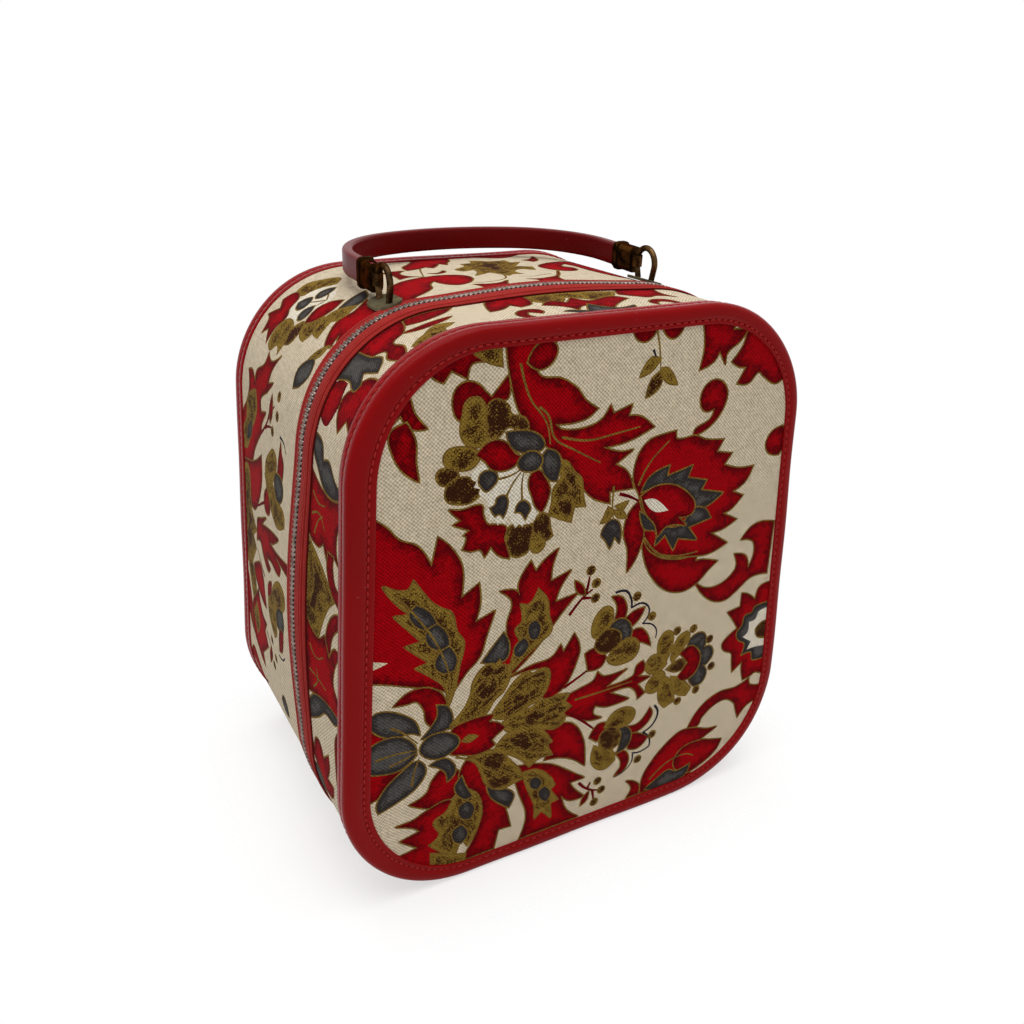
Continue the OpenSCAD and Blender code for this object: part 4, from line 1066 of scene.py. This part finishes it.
def tape_material():
    """Closely ribbed tape: cross ribs, cords along it and uneven dye, with painted shade between the ribs and a painted
    shadow where its edge turns down.
    """
    mat, tree, shader = material("ribbed_tape", 0.78, specular=0.06)
    shader.inputs["Sheen Weight"].default_value = 0.05
    spot = node(tree, "ShaderNodeUVMap", uv_map="cloth").outputs[0]
    along, across, _ = node(tree, "ShaderNodeSeparateXYZ", {0: spot}).outputs
    ribs = sums(tree, "SINE", sums(tree, "MULTIPLY", along, 2 * math.pi * 900))
    cords = sums(tree, "SINE", sums(tree, "MULTIPLY", across, 2 * math.pi * 640))
    height = sums(tree, "MULTIPLY_ADD", ribs, 0.3, sums(tree, "MULTIPLY", cords, 0.9))
    tone = mixed(tree, noise(tree, spot, 120.0, 3.0), linear(142, 26, 22), linear(176, 46, 38))
    # The rib and cord height lightens the colour on the ribs and darkens it between them: painted shade.
    light = sums(tree, "MULTIPLY_ADD", height, 0.22, 0.95)
    # Painted shadow: past 12.7 mm across the section, where the raised outer edge turns down to the cloth, the colour
    # is darkened.
    painted_edge_shadow = sums(tree, "MULTIPLY", sums(tree, "SUBTRACT", across, 0.0127), 5000.0, clamp=True)
    light = sums(tree, "MULTIPLY", light, sums(tree, "MULTIPLY_ADD", painted_edge_shadow, -0.62, 1.0))
    surface(tree, shader, scaled(tree, tone, light), height, strength=0.5, distance=0.0002)
    return mat


TAPE = tape_material()

# The tapes' sections as width from the teeth and inset
LID_RIBS = [(0.0, 0.75), (0.05, 0.35), (0.5, 0.12), (2.0, 0.02), (4.2, 0.02), (5.3, 0.2), (5.7, 0.7), (6.1, 0.1)]
LID_RIBS += [(6.7, -0.3), (7.3, -0.3), (7.8, 0.1), (8.2, 0.7), (8.6, 0.1), (9.2, -0.25), (9.9, -0.27), (10.6, -0.12)]
LID_RIBS += [(10.9, 0.15), (10.9, 0.95), (5, 0.95)]
CASE_RIBS = [(0.0, 0.75), (0.05, 0.35), (0.5, 0.12), (1.6, 0.02), (2.7, 0.12), (3.1, 0.4), (3.5, 0.1), (4.3, 0.0)]
CASE_RIBS += [(5.3, 0.06), (5.8, 0.22), (6.0, 0.5), (6.0, 0.85), (3, 0.85)]
FOOT_U, SEAM_IN = STARTS[4], 0.35
for name, body, solid, ribs, edge, side, seam_at in (
    ("lid_tape_ribbed", "lid", "lid_tape", LID_RIBS, -27.7, -1, (5.7, 8.2)),
    ("case_tape_ribbed", "case", "case_tape", CASE_RIBS, -24.3, 1, (3.1,)),
):
    whole = solid == "lid_tape"
    u = all_round if whole else stops(-FOOT_U, FOOT_U)
    rings = np.stack([on_wall(u, edge + side * w, inset) for w, inset in ribs], 1)
    tape = loft(name, rings, u, closed=whole, capped=not whole)
    tape.data.materials.append(TAPE)
    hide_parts(solid)
    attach(tape, body)
    rows = []
    for w in seam_at:
        def seam(u, w=w, edge=edge, side=side):
            return on_wall(u, edge + side * w, SEAM_IN)
        here, along, out = sewn(2.6, seam, first=-FOOT_U, last=GIRTH - FOOT_U if whole else FOOT_U)
        rows.append(row_of(name + "_row", stitch_shape(length=1.9, width=0.55), here, along, out))
    seams = joined(name + "_stitches", *rows) if len(rows) > 1 else rows[0]
    seams.name = name + "_stitches"
    seams.data.materials.append(THREAD)
    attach(seams, body)


# Zipper teeth
# Two rows of cast metal teeth clamped on the tapes' edges, one tooth of each row after the other, worn to a
# silver grey in fine bright and dull patches.

def metal_material(name, bright, dull, roughness, scale):
    """Worn metal: a bright and a dull tone in fine patches, rougher where it is dull."""
    mat, tree, shader = material(name, roughness, 1.0)
    shader.inputs["Specular Tint"].default_value = tuple(0.25 + c for c in bright) + (1,)
    spot = node(tree, "ShaderNodeTexCoord").outputs["Object"]
    patch = noise(tree, spot, scale, 5.0, Roughness=0.65)
    mask = sums(tree, "MULTIPLY_ADD", sums(tree, "SUBTRACT", patch, 0.5), 4.0, 0.5, clamp=True)
    tree.links.new(sums(tree, "MULTIPLY_ADD", mask, 0.22, roughness), shader.inputs["Roughness"])
    fine = noise(tree, spot, scale * 9, 2.0)
    surface(tree, shader, mixed(tree, mask, bright, dull), fine, strength=0.25, distance=0.0002)
    return mat


ZINC = metal_material("zipper_zinc", linear(156, 141, 133), linear(106, 92, 86), roughness=0.42, scale=260.0)
TEETH, PITCH, FIRST = 280, 2.1, 10.2
TOOTH_W, TOOTH_T, TOOTH_L = 0.98, 1.5, 3.3
ZIP_Y, OVERLAP, CHAIN_IN, CHAIN_OUT = -26, 1.1, 0.4, 0.3
bpy.ops.object.select_all(action="DESELECT")
bpy.ops.mesh.primitive_cube_add(size=1)
tooth = bpy.context.object
tooth.scale = (TOOTH_W, TOOTH_T, TOOTH_L)
bpy.ops.object.transform_apply(location=False, rotation=False, scale=True)
bevel = tooth.modifiers.new("round", "BEVEL")
bevel.width, bevel.segments = 0.3, 1
bpy.ops.object.modifier_apply(modifier=bevel.name)
tooth_shape = np.array([v.co[:] for v in tooth.data.vertices]), [tuple(f.vertices) for f in tooth.data.polygons]
bpy.data.objects.remove(tooth)
last_turn = math.radians(38) + LEAN
chain_end = STARTS[3] + CLOTH_R * last_turn
chain = 2 * (STARTS[3] + CHAIN_OUT * (QUARTER - LEAN) + (CLOTH_R + CHAIN_OUT) * last_turn)
for name, body, solid, shift, middle in (
    ("lid_teeth_cast", "lid", "lid_teeth", 0.0, ZIP_Y + OVERLAP - TOOTH_L / 2),
    ("case_teeth_cast", "case", "case_teeth", 0.5, ZIP_Y - OVERLAP + TOOTH_L / 2),
):
    u = -chain_end + (FIRST + (np.arange(TEETH) + shift) * PITCH) * 2 * chain_end / chain
    places = on_wall(u, middle, CHAIN_IN)
    along = np.tile([0.0, 1.0, 0.0], (TEETH, 1))
    way = around(u, 0)[1]
    out = np.stack([way[:, 0], np.zeros(TEETH), way[:, 1]], 1)
    teeth = row_of(name, tooth_shape, places, along, out)
    tidy(teeth)
    teeth.data.materials.append(ZINC)
    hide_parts(solid)
    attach(teeth, body)


# Slider and pull tab
# A cast slider parked at the lower end of the zipper, with a stamped pull tab on a pin through its crown.

def coat(mat, *solids):
    """Gives pieces of the CAD, kept as they are, a material."""
    for solid in solids:
        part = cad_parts[solid]
        part.data.materials.clear()
        part.data.materials.append(mat)


coat(ZINC, "slider", "pull_tab")


# Hinge strip
# A strip of the same vinyl sewn under the base, rolled along the line about which the lid turns.
ROLL_R = 0.9
HINGE = [(ZIP_Y + ROLL_R * math.sin(a), ROLL_R - ROLL_R * math.cos(a)) for a in np.radians(range(0, -271, -30))]
HINGE += [(-24.9, 0.85), (-24, 0.8), (-4.2, 0.8), (-4, 0.6), (-4, 0.2), (-4.2, 0.0), (-6.2, 0.0), (-6.5, 0.25)]
HINGE += [(-6.8, 0.0), (-22.4, 0.0), (-22.7, 0.25), (-23.0, 0.0)]
hinge_x = np.linspace(-BASE_X, BASE_X, 60)
strip_rings = [[(x, y, z) for y, z in HINGE] for x in hinge_x]
strip = loft("hinge_strip_vinyl", strip_rings, hinge_x + 60, closed=False, capped=True)
strip.data.materials.append(VINYL)
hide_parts("hinge_strip")
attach(strip, "case")


# Plates and wire loops
# Oval plates of antique brass on the shoulders of the case, and in each a loop of heavy wire bent like a
# horseshoe, its feet turned in through the plate.
PLATE = metal_material("dull_brass", linear(124, 116, 92), linear(84, 76, 58), roughness=0.5, scale=150.0)
WIRE = metal_material("brown_wire", linear(92, 68, 42), linear(40, 29, 19), roughness=0.3, scale=170.0)
coat(PLATE, "left_plate", "right_plate")
coat(WIRE, "left_loop", "right_loop")


# Strap
# The handle: one arch of moulded red vinyl with rounded edges, held at both ends in the ferrules and laid back
# on the top.
PIVOT = np.array([0.0, -12.85, 245.5916])
REST = math.radians(2.5 - 90)


def at_handle(x, y, z):
    """Points of the upright handle, laid back about its pivot."""
    back = PIVOT[1] + y * math.cos(REST) - z * math.sin(REST)
    high = PIVOT[2] + y * math.sin(REST) + z * math.cos(REST)
    return np.stack([x + 0 * z, back, high], -1)


LEG_X, LEG_FOOT, BEND_R, RISE, BOW = 62.0, 8.9, 44.0, 80.0, math.radians(20)
bow_r = BEND_R + (LEG_X - BEND_R) / math.sin(BOW)
bow_z = RISE - bow_r
bend_z = bow_z + (bow_r - BEND_R) * math.cos(BOW)
arch = [((LEG_X, z), 0.0) for z in np.linspace(LEG_FOOT, bend_z, 8)[:-1]]
for a in np.linspace(0, QUARTER - BOW, 24):
    arch.append(((LEG_X - BEND_R + BEND_R * math.cos(a), bend_z + BEND_R * math.sin(a)), a))
one_leg = len(arch)
for a in np.linspace(QUARTER - BOW, QUARTER + BOW, 40)[1:]:
    arch.append(((bow_r * math.cos(a), bow_z + bow_r * math.sin(a)), a))
arch += [((-x, z), math.pi - a) for (x, z), a in arch[:one_leg][::-1][1:]]
HALF_T, HALF_W, EDGE = 2.25, 5.0, 1.3
section = []
for sx, sy, start in ((1, 1, 0), (-1, 1, 90), (-1, -1, 180), (1, -1, 270)):
    for a in np.radians(range(start, start + 91, 18)):
        section.append((sx * (HALF_T - EDGE) + EDGE * math.cos(a), sy * (HALF_W - EDGE) + EDGE * math.sin(a)))
thick, wide = np.array(section).T
rings = [at_handle(x + thick * math.cos(a), -wide, z + thick * math.sin(a)) for (x, z), a in arch]
lengths = np.concatenate([[0], np.cumsum(np.linalg.norm(np.diff([p for p, a in arch], axis=0), axis=1))])
strap = loft("strap_vinyl", rings, lengths, closed=False, capped=True)
STRAP_VINYL = vinyl_material(
    "strap_red_vinyl", linear(108, 4, 6), linear(196, 140, 134), roughness=0.34, wear=0.6, shine=0.09
)
strap.data.materials.append(STRAP_VINYL)
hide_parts("strap")
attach(strap, "handle")


# Ferrules
# Pressed antique-brass ends on the strap, each with a rolled rib, open notches in its edges and a knuckle
# that rides on the wire loop.
BRASS = metal_material("antique_brass", linear(86, 58, 30), linear(22, 14, 9), roughness=0.34, scale=190.0)
coat(BRASS, "left_ferrule", "right_ferrule")


# Studio
# A white floor with the case's own soft shadow, light from above, and the photograph's view. The floor thins out
# beside the case and is clear from below, so an open lid that reaches under its level still shows.

def eased(tree, value, near, far, least=0.0):
    """A value that rises smoothly from the least to 1 between two distances."""
    inputs = {"Value": value, "From Min": near, "From Max": far, "To Min": least}
    return node(tree, "ShaderNodeMapRange", inputs, interpolation_type="SMOOTHSTEP").outputs["Result"]


def rays_seen(tree):
    """Two masks: rays straight from the camera, and those with reflected and refracted ones."""
    rays = node(tree, "ShaderNodeLightPath").outputs
    bent = sums(tree, "MAXIMUM", rays["Is Glossy Ray"], rays["Is Transmission Ray"])
    return rays["Is Camera Ray"], sums(tree, "MAXIMUM", rays["Is Camera Ray"], bent)


CASE_HALF_X, CASE_HALF_Y = 0.105, 0.07
bpy.ops.object.select_all(action="DESELECT")
bpy.ops.mesh.primitive_plane_add(size=6, location=(0, 0, -0.0002))
floor = bpy.context.object
floor.name = "floor"
paper, tree, shader = material("white_paper", 0.9, specular=0.1)
spot = node(tree, "ShaderNodeTexCoord").outputs["Object"]
straight, seen = rays_seen(tree)
far = eased(tree, norm(tree, spot), 0.22, 0.7)
rough = sums(tree, "MULTIPLY_ADD", noise(tree, spot, 300.0, 2.0), 0.05, 0.87)
white = mixed(tree, sums(tree, "MULTIPLY", seen, far), (0.86, 0.86, 0.86), (0, 0, 0))
glow = sums(tree, "MULTIPLY", seen, sums(tree, "MULTIPLY_ADD", far, 0.66, 0.34))
shader.inputs["Emission Color"].default_value = (1, 1, 1, 1)
for label, value in (("Roughness", rough), ("Base Color", white), ("Emission Strength", glow)):
    tree.links.new(value, shader.inputs[label])
xyz = node(tree, "ShaderNodeSeparateXYZ", {0: spot}).outputs
past = {}
for axis, half in enumerate((CASE_HALF_X, CASE_HALF_Y)):
    past[axis] = sums(tree, "MAXIMUM", sums(tree, "SUBTRACT", sums(tree, "ABSOLUTE", xyz[axis]), half), 0.0)
apart = norm(tree, node(tree, "ShaderNodeCombineXYZ", past).outputs[0])
thin = sums(tree, "MULTIPLY", straight, eased(tree, apart, 0.004, 0.06, least=0.4))
gone = sums(tree, "MAXIMUM", thin, node(tree, "ShaderNodeNewGeometry").outputs["Backfacing"])
clear = node(tree, "ShaderNodeBsdfTransparent").outputs[0]
blend = node(tree, "ShaderNodeMixShader", {0: gone, 1: shader.outputs[0], 2: clear})
tree.links.new(blend.outputs[0], tree.nodes["Material Output"].inputs["Surface"])
floor.data.materials.append(paper)

world = bpy.data.worlds.new("studio")
bpy.context.scene.world = world
world.use_nodes = True
tree = world.node_tree
sky = tree.nodes["Background"]
sky.inputs["Color"].default_value = (1, 1, 1, 1)
tree.links.new(sums(tree, "MULTIPLY_ADD", rays_seen(tree)[1], 0.62, 0.38), sky.inputs["Strength"])

lamp = bpy.data.lights.new("ceiling", "AREA")
lamp.size, lamp.energy = 1.4, 16.0
light = bpy.data.objects.new("ceiling", lamp)
light.location = (-0.1, -0.15, 1.5)
light.rotation_euler = (Vector((0, 0, 0.1)) - light.location).to_track_quat("-Z", "Y").to_euler()
bpy.context.collection.objects.link(light)

# The camera fitted to the photo
SENSOR, FOCAL_PX, PICTURE_PX = 36, 945.39, 1024
HEADING, ROLL = math.radians(-29.24), math.radians(1.21)
EYE, BACKWARD = (-0.19727, -0.35939, 0.31187), (-0.44734, -0.79911, 0.40163)
lens = bpy.data.cameras.new("camera")
lens.sensor_width, lens.lens = SENSOR, FOCAL_PX / PICTURE_PX * SENSOR
lens.clip_start = 0.01
camera = bpy.data.objects.new("camera", lens)
back = Vector(BACKWARD).normalized()
level = Vector((math.cos(HEADING), math.sin(HEADING), 0))
right = math.cos(ROLL) * level + math.sin(ROLL) * back.cross(level)
up = back.cross(right)
turn = Matrix((right, up, back)).transposed().to_4x4()
camera.matrix_world = Matrix.Translation(EYE) @ turn
bpy.context.collection.objects.link(camera)
bpy.context.scene.camera = camera
bpy.context.scene.view_settings.view_transform = "Standard"
